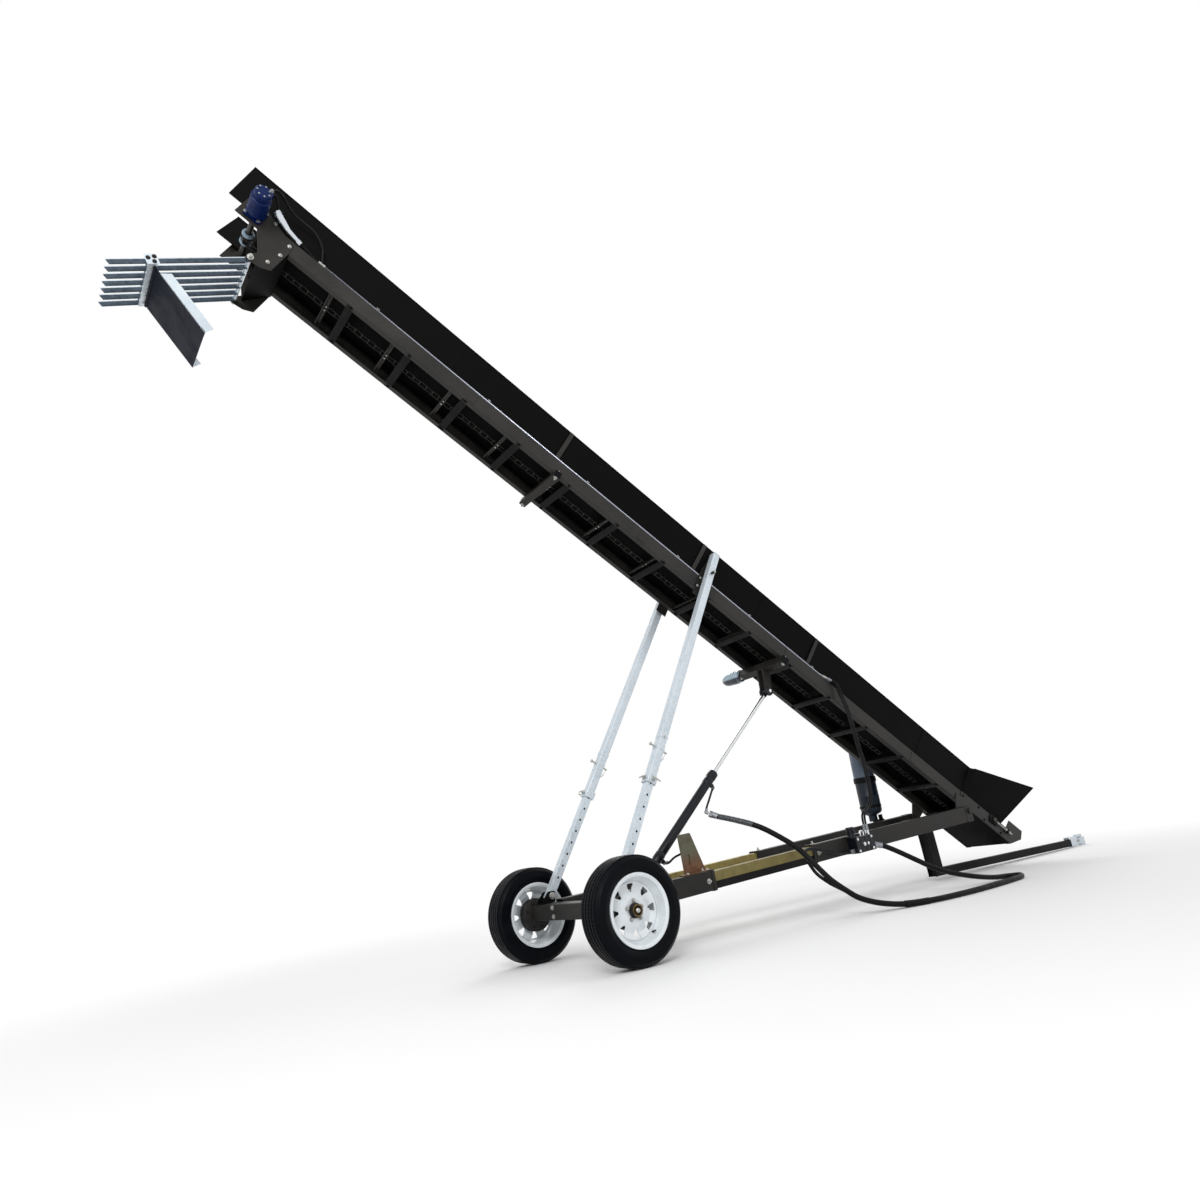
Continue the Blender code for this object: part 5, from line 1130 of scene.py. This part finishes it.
# Leg brackets: a plate on each channel with a long pin for the leg and a strap up the side board.
# Bolts hold the plate, and a split pin through the long pin's end keeps the leg on it.
dress(FRAME_GREY, "leg_bracket_left", "leg_bracket_right")
LEG_TOP_X, LEG_TOP_HEIGHT = -3.04, 0.12
pin_end_bm = bmesh.new()
for sign in SIGN.values():
    tip = Vector((LEG_TOP_X, sign * 0.3335, LEG_TOP_HEIGHT))
    split_at = tip - EY * sign * 0.003
    bar_in(pin_end_bm, 0.0016, split_at - EZ * 0.016, split_at + EZ * 0.014, 8)
    bar_in(pin_end_bm, 0.0085, tip, tip + EY * sign * 0.002, 20)
    for x, z in ((-0.03, 0.01), (0.03, 0.01), (-0.03, 0.085), (0.03, 0.085)):
        bolt_in(pin_end_bm, (LEG_TOP_X + x, sign * 0.2225, z), EY * sign, 0.008)
piece("leg_pin_ends", pin_end_bm, BOOM, BOLT_ZINC, "boom", 0.0005)


# Legs: galvanised square tubes, the lower one drilled with a row of holes and sliding in the upper.
# A collar with a T-handled screw and a lock pin through the holes set the length.
def leg_place(sign):
    """The frame of a leg, with Z up along it from the foot's pin, and its length to the top pin."""
    foot = Vector((LEG_FOOT.x, sign * LEG_FOOT.y, LEG_FOOT.z))
    top = Vector((LEG_TOP.x, sign * LEG_TOP.y, LEG_TOP.z))
    along = (top - foot).normalized()
    side = (EY - along * along.dot(EY)).normalized()
    turn = Matrix((side.cross(along), side, along)).transposed().to_4x4()
    return CHASSIS @ Matrix.Translation(foot) @ turn, (top - foot).length


LOWER_WIDTH, UPPER_WIDTH, COLLAR_AT, PIN_AT, BOLT_AT = 0.0475, 0.055, 0.681, 0.926, 1.006
LOWER_HALF, LOWER_MIDDLE, HOLE_PITCH = 0.7485, 0.7245, 0.08
for side, sign in SIGN.items():
    leg, leg_reach = leg_place(sign)
    lower_bm = bmesh.new()
    half = LOWER_WIDTH / 2
    holes = [ring_of((0.0, 0.12 + HOLE_PITCH * k - LOWER_MIDDLE), 0.0075, 16) for k in range(16)]
    for offset in (-1, 1):
        wall_at = offset * (half - 0.0015)
        sheet_in(lower_bm, oblong(half, LOWER_HALF), 0.003, (0, wall_at, LOWER_MIDDLE), holes=holes)
        sheet_in(lower_bm, oblong(half - 0.003, LOWER_HALF), 0.003, (wall_at, 0, LOWER_MIDDLE), EY, EZ)
    piece(f"leg_lower_{side}_tube", lower_bm, leg, GALVANISED, f"leg_lower_{side}", 0.0006,
          (f"leg_lower_{side}",))
    upper_bm = bmesh.new()
    for growth, wall, start, end, corner in ((0.0, 0.0028, COLLAR_AT, leg_reach + 0.185, 0.006),
                                             (0.015, 0.0075, COLLAR_AT - 0.002, COLLAR_AT + 0.046, 0.008),
                                             (0.004, 0.003, PIN_AT - 0.01, PIN_AT + 0.01, 0.007),
                                             (0.004, 0.003, BOLT_AT - 0.01, BOLT_AT + 0.01, 0.007)):
        width = UPPER_WIDTH + growth
        tube_in(upper_bm, width, width, wall, (0, 0, start), (0, 0, end), EX, EY, corner)
    piece(f"leg_upper_{side}_tube", upper_bm, leg, GALVANISED, f"leg_upper_{side}", 0.0008,
          (f"leg_upper_{side}",))
    screw_bm = bmesh.new()
    for out, reach in ((EY * sign, 0.075), (-EX, 0.06)):
        bar_in(screw_bm, 0.012, out * 0.035, out * 0.046, 6)
        bar_in(screw_bm, 0.006, out * 0.044, out * reach, 14)
        grip, half_grip = out * (reach - 0.006), out.cross(EZ) * 0.034
        bar_in(screw_bm, 0.0045, grip - half_grip, grip + half_grip, 12)
    bmesh.ops.translate(screw_bm, vec=EZ * (COLLAR_AT + 0.02), verts=screw_bm.verts)
    bar_in(screw_bm, 0.0058, (-0.066, 0, PIN_AT), (0.066, 0, PIN_AT), 14)
    bar_in(screw_bm, 0.011, (-0.072, 0, PIN_AT), (-0.064, 0, PIN_AT), 20)
    ring = smooth_route([(0.058, 0.0, PIN_AT), (0.066, 0.02, PIN_AT - 0.02), (0.06, 0.03, PIN_AT - 0.046),
                         (0.052, 0.016, PIN_AT - 0.062), (0.056, -0.004, PIN_AT - 0.04)], 0.006)
    ring_mesh = tube_mesh("ring", ring, 0.0014, 2)
    screw_bm.from_mesh(ring_mesh)
    bpy.data.meshes.remove(ring_mesh)
    bolt_in(screw_bm, (0, sign * 0.0275, BOLT_AT), EY * sign, 0.0085)
    piece(f"leg_screws_{side}", screw_bm, leg, BOLT_ZINC, f"leg_upper_{side}", 0.0004)
    cap_bm = bmesh.new()
    block_in(cap_bm, (UPPER_WIDTH - 0.001, UPPER_WIDTH - 0.001, 0.006), (0, 0, leg_reach + 0.186))
    piece(f"leg_cap_{side}", cap_bm, leg, TYRE_RUBBER, f"leg_upper_{side}", 0.0015)


# Lift cylinder: a navy-black barrel with a screwed gland, welded ports and a chromed rod.
# A thin pipe runs down from the top port to the main hose's elbow.
BARREL_NAVY = worn_finish("barrel_navy", (8, 11, 20), (30, 32, 40), 0.25, 9.0, 0.3, 0.22,
                          specular=0.17, coat=0.25)
CHROME = worn_finish("rod_chrome", (226, 228, 230), (190, 190, 188), 0.3, 30.0, 0.08, 0.1,
                     metal=1.0, bump=0.02)
cylinder_foot = Vector((FOOT_PIN_X, 0, FOOT_PIN_Z))
cylinder_eye = Vector((1.99672, 0, 1.21612))
cylinder_line = (cylinder_eye - cylinder_foot).normalized()
CYLINDER = (CHASSIS @ Matrix.Translation(cylinder_foot)
            @ Matrix((EY.cross(cylinder_line), EY, cylinder_line)).transposed().to_4x4())
eye_reach = (cylinder_eye - cylinder_foot).length
EYE_PROFILE = [(0.0235, -0.02), (0.026, -0.018), (0.026, 0.018), (0.0235, 0.02)]
barrel_bm = bmesh.new()
turned_in(barrel_bm, [(0.0138, -0.02), *EYE_PROFILE, (0.0138, 0.02)], (0, 0, 0), EY, 36)
turned_in(barrel_bm, [(0.0, 0.02), (0.02, 0.02), (0.02, 0.042), (0.024, 0.045), (0.029, 0.048),
                      (0.031, 0.051), (0.031, 0.986), (0.0325, 0.988), (0.0345, 0.99), (0.035, 0.992),
                      (0.035, 1.006), (0.0335, 1.0075), (0.0335, 1.0105), (0.035, 1.012), (0.035, 1.036),
                      (0.032, 1.041), (0.0155, 1.041), (0.0155, 1.02), (0.0, 1.02)],
          (0, 0, 0), EZ, 40, closed=False)
for height in (0.265, 0.955):
    block_in(barrel_bm, (0.024, 0.023, 0.023), (0.039, 0, height))
    turned_in(barrel_bm, [(0.031, height - 0.03), (0.0335, height - 0.024), (0.0335, height + 0.024),
                          (0.031, height + 0.03)], (0, 0, 0), EZ, 40)
piece("lift_barrel", barrel_bm, CYLINDER, BARREL_NAVY, "cylinder_barrel", 0.0008, ("cylinder_barrel",))
PORT_ROUTE = [(0.05, 0.0, 0.956), (0.056, -0.006, 0.948), (0.05, -0.028, 0.905),
              (0.06, -0.04, 0.84), (0.074, -0.045, 0.7752), (0.0845, -0.0468, 0.75)]
swept("port_pipe", [CYLINDER @ p for p in smooth_route(PORT_ROUTE, 0.01)], 0.0072, BARREL_NAVY,
      "cylinder_barrel")
silver_bm = bmesh.new()
for radius, start, end, sides in ((0.0125, (0.05, 0, 0.955), (0.06, 0, 0.955), 6),
                                  (0.0105, (0.059, -0.004, 0.955), (0.052, -0.018, 0.926), 6),
                                  (0.0125, (0.05, 0, 0.265), (0.062, 0, 0.265), 6),
                                  (0.0108, (0.08, -0.0455, 0.765), (0.088, -0.0472, 0.742), 6),
                                  (0.0115, (0.0875, -0.047, 0.742), (0.103, -0.0582, 0.7438), 14)):
    bar_in(silver_bm, radius, start, end, sides)
bmesh.ops.create_uvsphere(silver_bm, u_segments=20, v_segments=12, radius=0.0118,
                          matrix=Matrix.Translation((0.0878, -0.0472, 0.7422)))
piece("cylinder_fittings", silver_bm, CYLINDER, MOTOR_STEEL, "cylinder_barrel", 0.0006)
rod_bm = bmesh.new()
bar_in(rod_bm, 0.014, (0, 0, 0.88), (0, 0, eye_reach - 0.034), 40)
bar_in(rod_bm, 0.0125, (0, -0.047, eye_reach), (0, 0.047, eye_reach), 28)
piece("lift_rod", rod_bm, CYLINDER, CHROME, "cylinder_rod", 0.0008, ("cylinder_rod",))
eye_bm = bmesh.new()
turned_in(eye_bm, [(0.0128, -0.02), *EYE_PROFILE, (0.0128, 0.02)], (0, 0, eye_reach), EY, 36)
bar_in(eye_bm, 0.0185, (0, 0, eye_reach - 0.052), (0, 0, eye_reach - 0.022), 6)
for out in (-1, 1):
    bar_in(eye_bm, 0.0345, (0, out * 0.0337, eye_reach), (0, out * 0.0397, eye_reach), 40)
piece("rod_eye", eye_bm, CYLINDER, BARREL_NAVY, "cylinder_rod", 0.0006)


# Hose ends: swaged steel ferrules with a hexagon nut, and a wire guard wound round the main hose
# where it leaves the cylinder. A sleeve joins the thin hose to the main one near the floor.
def ferrule_in(bm, path, radius, length, from_end=False):
    """Add a swaged ferrule with its nut on one end of a hose."""
    run = list(reversed(path)) if from_end else path
    start = run[0]
    travelled, k = 0.0, 0
    while travelled < length and k < len(run) - 2:
        travelled += (run[k + 1] - run[k]).length
        k += 1
    way = (run[k] - start).normalized()
    bar_in(bm, radius + 0.0045, start, start + way * length * 0.36, 6)
    bar_in(bm, radius + 0.0022, start + way * length * 0.34, start + way * length, 24)
    for share in (0.45, 0.6, 0.75):
        bar_in(bm, radius + 0.0032, start + way * length * share, start + way * length * (share + 0.05), 24)


for ferrule_name, body, ends in (
        ("ferrules_chassis", "chassis", (("hose_cylinder", 0.018, 0.055, True),
                                         ("hose_twin", 0.011, 0.045, False),
                                         ("hose_boom_inner", 0.0075, 0.04, True),
                                         ("hose_boom_outer", 0.0075, 0.04, True),
                                         ("hose_return", 0.007, 0.028, True))),
        ("ferrules_boom", "boom", (("hose_boom_inner", 0.0075, 0.04, False),
                                   ("hose_boom_outer", 0.0075, 0.04, False))),
        ("ferrules_cylinder", "cylinder_barrel", (("hose_cylinder", 0.018, 0.055, False),
                                                  ("hose_return", 0.007, 0.028, False)))):
    ferrule_bm = bmesh.new()
    for hose_name, radius, length, from_end in ends:
        ferrule_in(ferrule_bm, hoses[hose_name], radius, length, from_end)
    piece(ferrule_name, ferrule_bm, WORLD, MOTOR_STEEL, body, 0.0004)


def wound(path, start, end, radius, pitch):
    """A helix round a path between two lengths along it."""
    points = []
    travelled = 0.0
    steps_a_turn = 12
    goal = start
    for a, b in zip(path, path[1:]):
        length = (b - a).length
        way = (b - a).normalized()
        side = way.cross(EZ).normalized()
        over = side.cross(way)
        while travelled + length >= goal and goal <= end:
            turn = math.tau * (goal - start) / pitch
            centre = a.lerp(b, (goal - travelled) / length)
            points.append(centre + side * radius * math.cos(turn) + over * radius * math.sin(turn))
            goal += pitch / steps_a_turn
        travelled += length
    return points


main_path = hoses["hose_cylinder"]
guard = swept("wire_guard", wound(main_path, 0.058, 0.3, 0.0196, 0.0085), 0.0016, MOTOR_STEEL, sides=1)
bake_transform(guard)
twin_end = hoses["hose_twin"][-1]
joint_at = min(range(len(main_path)), key=lambda k: (main_path[k] - twin_end).length)
sleeve_bm = bmesh.new()
for k in range(joint_at - 3, joint_at + 5):
    bar_in(sleeve_bm, 0.0205, main_path[k], main_path[k + 1], 28)
bar_in(sleeve_bm, 0.0135, hoses["hose_twin"][-4], twin_end, 24)
bar_in(sleeve_bm, 0.013, twin_end, twin_end.lerp(main_path[joint_at + 3], 0.7), 24, 0.01)
piece("hose_sleeve", sleeve_bm, WORLD, HOSE_RUBBER, "chassis")


# Crossbars: two square bars under the boom; the lower carries the cylinder's ears and a work lamp.
# Plastic caps close the bar ends.
dress(FRAME_GREY, "lift_crossbar", "upper_crossbar")
LIFT_BAR_X, UPPER_BAR_X = -2.15, -4.38
cap_bm = bmesh.new()
for x, size, ends in ((LIFT_BAR_X, 0.06, (-1,)), (UPPER_BAR_X, 0.05, (-1, 1))):
    for sign in ends:
        block_in(cap_bm, (size - 0.002, 0.005, size - 0.002), (x, sign * 0.242, -0.0003 - size / 2))
piece("bar_caps", cap_bm, BOOM, TYRE_RUBBER, "boom", 0.0015)
bar_bolts = bmesh.new()
for x, size in ((LIFT_BAR_X, 0.06), (UPPER_BAR_X, 0.05)):
    for sign in SIGN.values():
        bar_in(bar_bolts, 0.0055, (x, sign * 0.228, -0.07), (x, sign * 0.228, 0.012), 12)
        bolt_in(bar_bolts, (x, sign * 0.228, -size), -EZ, 0.009)
        bolt_in(bar_bolts, (x, sign * 0.19, STEEL), EZ, 0.008)
piece("crossbar_bolts", bar_bolts, BOOM, BOLT_ZINC, "boom", 0.0005)
LAMP_SHELL_PAINTED_SHADE = worn_finish("lamp_shell_painted_shade", (150, 162, 172), (110, 122, 130), 0.35, 20.0, 0.25, 0.2,
                         metal=0.1, coat=0.3)
# Painted shade: the lamp shell's paint turns dark navy below a height on its underside, where the light from
# above does not reach.
LAMP_AT = Vector((LIFT_BAR_X, 0, -0.0303))
tone_by_height(LAMP_SHELL_PAINTED_SHADE, Matrix.Translation(BOOM @ LAMP_AT), (-0.016, (10, 20, 40)),
               (-0.004, (166, 186, 198)))
lamp_bm = bmesh.new()
turned_in(lamp_bm, [(0.0, 0.2405), (0.04, 0.2405), (0.048, 0.245), (0.049, 0.285), (0.053, 0.29),
                    (0.053, 0.302), (0.05, 0.304), (0.0505, 0.32), (0.0525, 0.322), (0.0525, 0.33),
                    (0.0505, 0.332), (0.0505, 0.37), (0.048, 0.396), (0.042, 0.418), (0.033, 0.432),
                    (0.02, 0.44), (0.0, 0.442)], LAMP_AT, EY, 48, closed=False)
piece("work_lamp", lamp_bm, BOOM, LAMP_SHELL_PAINTED_SHADE, "boom", 0.0008, ("lamp",))


# Discharge grate: seven zinc-plated bars side by side, hinged under the head so the logs roll off.
# A clamp strip ties them near the far end and carries the baffle's hinge.
GRATE_ZINC = zinc_finish("grate_zinc", (226, 234, 240), (186, 196, 204), 50.0, 0.3, 0.5)
# Painted shade: the bars' sides take a darker copy of the grate's zinc, while their crowns keep the lit zinc.
GRATE_SIDE_PAINTED_SHADE = zinc_finish("grate_side_painted_shade", (84, 98, 110), (46, 58, 70), 50.0, 0.42, 0.5)
GRATE_DROP = 19.0
GRATE = (BOOM @ Matrix.Translation((HINGE_X, 0, HINGE_Z))
         @ Matrix.Rotation(-math.radians(BOOM_ANGLE + GRATE_DROP), 4, "Y"))
GRATE_LENGTH, GRATE_HALF, GRATE_BARS, CLAMP_X = 0.76, 0.2, 7, -0.535
side_view = [(0.0, -0.015), (0.0, 0.0095), (-GRATE_LENGTH + 0.002, 0.0095), (-GRATE_LENGTH + 0.011, -0.015)]
crown_view = [(0.0, 0.009), (0.0, 0.015), (-GRATE_LENGTH, 0.015), (-GRATE_LENGTH + 0.002, 0.009)]
grate_bm = bmesh.new()
crown_bm = bmesh.new()
bar_in(crown_bm, 0.012, (0, -GRATE_HALF - 0.002, 0), (0, GRATE_HALF + 0.002, 0), 28)
for k in range(GRATE_BARS):
    y = -GRATE_HALF + 0.007 + (2 * GRATE_HALF - 0.014) * k / (GRATE_BARS - 1)
    sheet_in(grate_bm, side_view, 0.009, (0, y, 0))
    sheet_in(crown_bm, crown_view, 0.014, (0, y, 0))
piece("grate_bars", grate_bm, GRATE, GRATE_SIDE_PAINTED_SHADE, "discharge_grate", 0.0007, ("discharge_grate",))
piece("grate_crowns", crown_bm, GRATE, GRATE_ZINC, "discharge_grate", 0.0007)
clamp_bm = bmesh.new()
block_in(clamp_bm, (0.05, 2 * GRATE_HALF, 0.01), (CLAMP_X, 0, -0.018))
block_in(clamp_bm, (0.036, 2 * GRATE_HALF - 0.02, 0.004), (CLAMP_X, 0, 0.017))
block_in(clamp_bm, (0.066, 0.004, 0.062), (-0.533, -GRATE_HALF - 0.0022, 0.006))
piece("grate_clamp", clamp_bm, GRATE, GRATE_ZINC, "discharge_grate", 0.001)
clamp_bolts = bmesh.new()
for k in range(6):
    y = -0.161 + 0.0644 * k
    bar_in(clamp_bolts, 0.0045, (CLAMP_X, y, -0.03), (CLAMP_X, y, 0.026), 12)
    bolt_in(clamp_bolts, (CLAMP_X, y, 0.019), EZ, 0.008)
    bolt_in(clamp_bolts, (CLAMP_X, y, -0.023), -EZ, 0.0075)
piece("clamp_bolts", clamp_bolts, GRATE, BOLT_ZINC, "discharge_grate", 0.0005)
lug_bolts = bmesh.new()
for x, z in ((-0.516, 0.02), (-0.55, 0.014), (-0.524, -0.01)):
    bolt_in(lug_bolts, (x, -GRATE_HALF - 0.0042, z), -EY, 0.0085)
piece("clamp_lug_bolts", lug_bolts, GRATE, DRUM_IRON, "discharge_grate", 0.0005)


# Baffle: a dark sheet hanging from the grate to turn the logs down, with zinc side flanges.
# It swings on a piano hinge under the clamp strip.
BAFFLE_DARK = worn_finish("baffle_dark", (15, 20, 33), (30, 36, 47), 0.3, 8.0, 0.45, 0.25,
                          specular=0.1)
BAFFLE = GRATE @ Matrix.Translation((-0.525, 0, -0.0323)) @ Matrix.Rotation(math.radians(74.0), 4, "Y")
BAFFLE_WIDTH, KNUCKLES = 0.37, 9
baffle_bm = bmesh.new()
block_in(baffle_bm, (0.414, BAFFLE_WIDTH, 0.004), (0.219, 0, 0))
for k in range(KNUCKLES):
    y = -BAFFLE_WIDTH / 2 + BAFFLE_WIDTH * (k + 0.5) / KNUCKLES
    bar_in(baffle_bm, 0.009, (0, y - 0.0198, 0), (0, y + 0.0198, 0), 20)
    block_in(baffle_bm, (0.024, 0.0396 if k % 2 else 0.03, 0.003), (0.012, y, 0))
piece("baffle_sheet", baffle_bm, BAFFLE, BAFFLE_DARK, "baffle", 0.0008, ("baffle",))
flange_bm = bmesh.new()
for sign in SIGN.values():
    sheet_in(flange_bm, [(0.04, -0.002), (0.424, -0.002), (0.424, 0.056), (0.06, 0.056)],
             0.004, (0, sign * 0.183, 0.0))
    block_in(flange_bm, (0.034, 0.05, 0.004), (0.408, sign * 0.16, 0.004))
piece("baffle_flanges", flange_bm, BAFFLE, GRATE_ZINC, "baffle", 0.0008)


# Hose bracket: a passivated plate on the rear rail with a keyhole, gone rusty towards its foot.
# The cylinder's return hose ends on it.
BRACKET_RUST = worn_finish("bracket_passivated", (150, 134, 70), (84, 56, 36), 0.45, 22.0,
                           0.45, 0.3, metal=0.3, bump=0.2)
tone_by_height(BRACKET_RUST, CHASSIS, (0.12, (104, 70, 46)), (0.215, (86, 86, 68)))
bracket_bm = bmesh.new()
plate_view = rounded([(0.664, 0.0803), (0.84, 0.0803), (0.768, 0.325), (0.664, 0.325)], 0.012)
keyhole = [(0.712, 0.135), (0.728, 0.135), (0.728, 0.172), (0.734, 0.18), (0.734, 0.19), (0.728, 0.196),
           (0.712, 0.196), (0.706, 0.19), (0.706, 0.18), (0.712, 0.172)]
sheet_in(bracket_bm, plate_view, 0.006, (0, -0.236, 0), holes=[keyhole])
sheet_in(bracket_bm, [(0.667, 0.27), (0.782, 0.27), (0.78, 0.278), (0.667, 0.278)], 0.004, (0, -0.24, 0))
block_in(bracket_bm, (0.22, 0.066, 0.006), (0.73, -0.264, 0.0833))
block_in(bracket_bm, (0.05, 0.002, 0.084), (0.72, -0.2318, 0.166))
piece("hose_bracket_plate", bracket_bm, CHASSIS, BRACKET_RUST, "chassis", 0.0008, ("hose_bracket",))
bracket_bolts = bmesh.new()
for x in (0.65, 0.81):
    bolt_in(bracket_bolts, (x, -0.285, 0.0865), EZ, 0.009)
piece("bracket_bolts", bracket_bolts, CHASSIS, BOLT_ZINC, "chassis", 0.0005)


# Valve: a sectional hydraulic block on the near rail with an upright relief cartridge and hose ports.
# Chromed elbows and nuts join the hoses to it.
valve_bm = bmesh.new()
for x, width in ((2.152, 0.043), (2.2, 0.046), (2.25, 0.046), (2.3035, 0.053)):
    block_in(valve_bm, (width, 0.078, 0.108), (x, -0.3503, 0.01))
block_in(valve_bm, (0.196, 0.06, 0.088), (2.23, -0.346, 0.01))
turned_in(valve_bm, [(0.0, 0.064), (0.03, 0.064), (0.03, 0.076), (0.027, 0.078), (0.027, 0.126),
                     (0.029, 0.128), (0.029, 0.134), (0.026, 0.139), (0.0, 0.1395)],
          (2.15, -0.3403, 0), EZ, 32, closed=False)
block_in(valve_bm, (0.026, 0.03, 0.022), (2.15, -0.366, 0.106))
piece("valve_sections", valve_bm, CHASSIS, BARREL_NAVY, "chassis", 0.0014, ("valve_block",))
valve_silver = bmesh.new()
for x in (2.152, 2.3035):
    for z in (-0.03, 0.05):
        bolt_in(valve_silver, (x, -0.3893, z), -EY, 0.0065)
for y in (-0.35, -0.371):
    bar_in(valve_silver, 0.0105, (2.3, y, 0.064), (2.3, y, 0.076), 6)
    bar_in(valve_silver, 0.0085, (2.3, y, 0.074), (2.3, y, 0.0955), 20)
for radius, start, end, sides in ((0.018, (2.33, -0.368, -0.012), (2.3395, -0.368, -0.0122), 6),
                                  (0.015, (2.13, -0.35, -0.023), (2.12, -0.35, -0.023), 6),
                                  (0.013, (2.21, -0.3893, 0.01), (2.21, -0.396, 0.01), 24),
                                  (0.009, (2.21, -0.394, 0.01), (2.21, -0.4, 0.01), 6),
                                  (0.011, (2.252, -0.3893, 0.01), (2.252, -0.396, 0.01), 6)):
    bar_in(valve_silver, radius, start, end, sides)
elbow = smooth_route([(2.23, -0.355, 0.064), (2.23, -0.355, 0.086), (2.238, -0.355, 0.096),
                      (2.256, -0.356, 0.098), (2.264, -0.356, 0.088), (2.264, -0.356, 0.064)], 0.005)
elbow_mesh = tube_mesh("elbow", elbow, 0.0065)
valve_silver.from_mesh(elbow_mesh)
bpy.data.meshes.remove(elbow_mesh)
piece("valve_fittings", valve_silver, CHASSIS, CHROME, "chassis", 0.0004)


# Oil canister: a tall blue can standing on the far rail, with a black clamp ring, a paler upper part
# and a neck at its foot. A saddle holds it off the rail.
CAN_BLUE = worn_finish("canister_paint", (8, 20, 34), (34, 48, 64), 0.35, 9.0, 0.35,
                       0.2, specular=0.3)
CAN_GREY = worn_finish("canister_top", (78, 92, 110), (48, 56, 68), 0.4, 9.0, 0.35, 0.2)
CAN = CHASSIS @ Matrix.Translation((3.36, 0.39, 0.14)) @ Matrix.Rotation(math.radians(2.6), 4, "Y")
for can_name, profile, finish, stands_for in (
        ("canister_body", [(0.0, -0.06), (0.036, -0.06), (0.036, -0.012), (0.045, -0.006), (0.07, 0.004),
                           (0.084, 0.018), (0.088, 0.034), (0.088, 0.146), (0.089, 0.148), (0.089, 0.152),
                           (0.088, 0.154), (0.088, 0.269), (0.0, 0.269)], CAN_BLUE, ("oil_canister",)),
        ("canister_ring", [(0.0, 0.27), (0.094, 0.27), (0.095, 0.274), (0.095, 0.312), (0.093, 0.315),
                           (0.0, 0.315)], FRAME_BLACK, ()),
        ("canister_cap", [(0.0, 0.3155), (0.089, 0.3155), (0.0895, 0.33), (0.086, 0.532), (0.08, 0.548),
                          (0.07, 0.556), (0.03, 0.56), (0.0, 0.56)], CAN_GREY, ())):
    can_bm = bmesh.new()
    turned_in(can_bm, profile, (0, 0, 0), EZ, 48, closed=False)
    piece(can_name, can_bm, CAN, finish, "chassis", replaces=stands_for)
saddle_bm = bmesh.new()
block_in(saddle_bm, (0.08, 0.062, 0.03), (3.36, 0.341, 0.075))
turned_in(saddle_bm, [(0.0885, 0.056), (0.0915, 0.056), (0.0915, 0.076), (0.0885, 0.076)],
          (3.36, 0.39, 0.14), EZ, 48)
block_in(saddle_bm, (0.05, 0.006, 0.08), (3.36, 0.313, 0.09))
piece("canister_saddle", saddle_bm, CHASSIS, FRAME_BLACK, "chassis", 0.001)
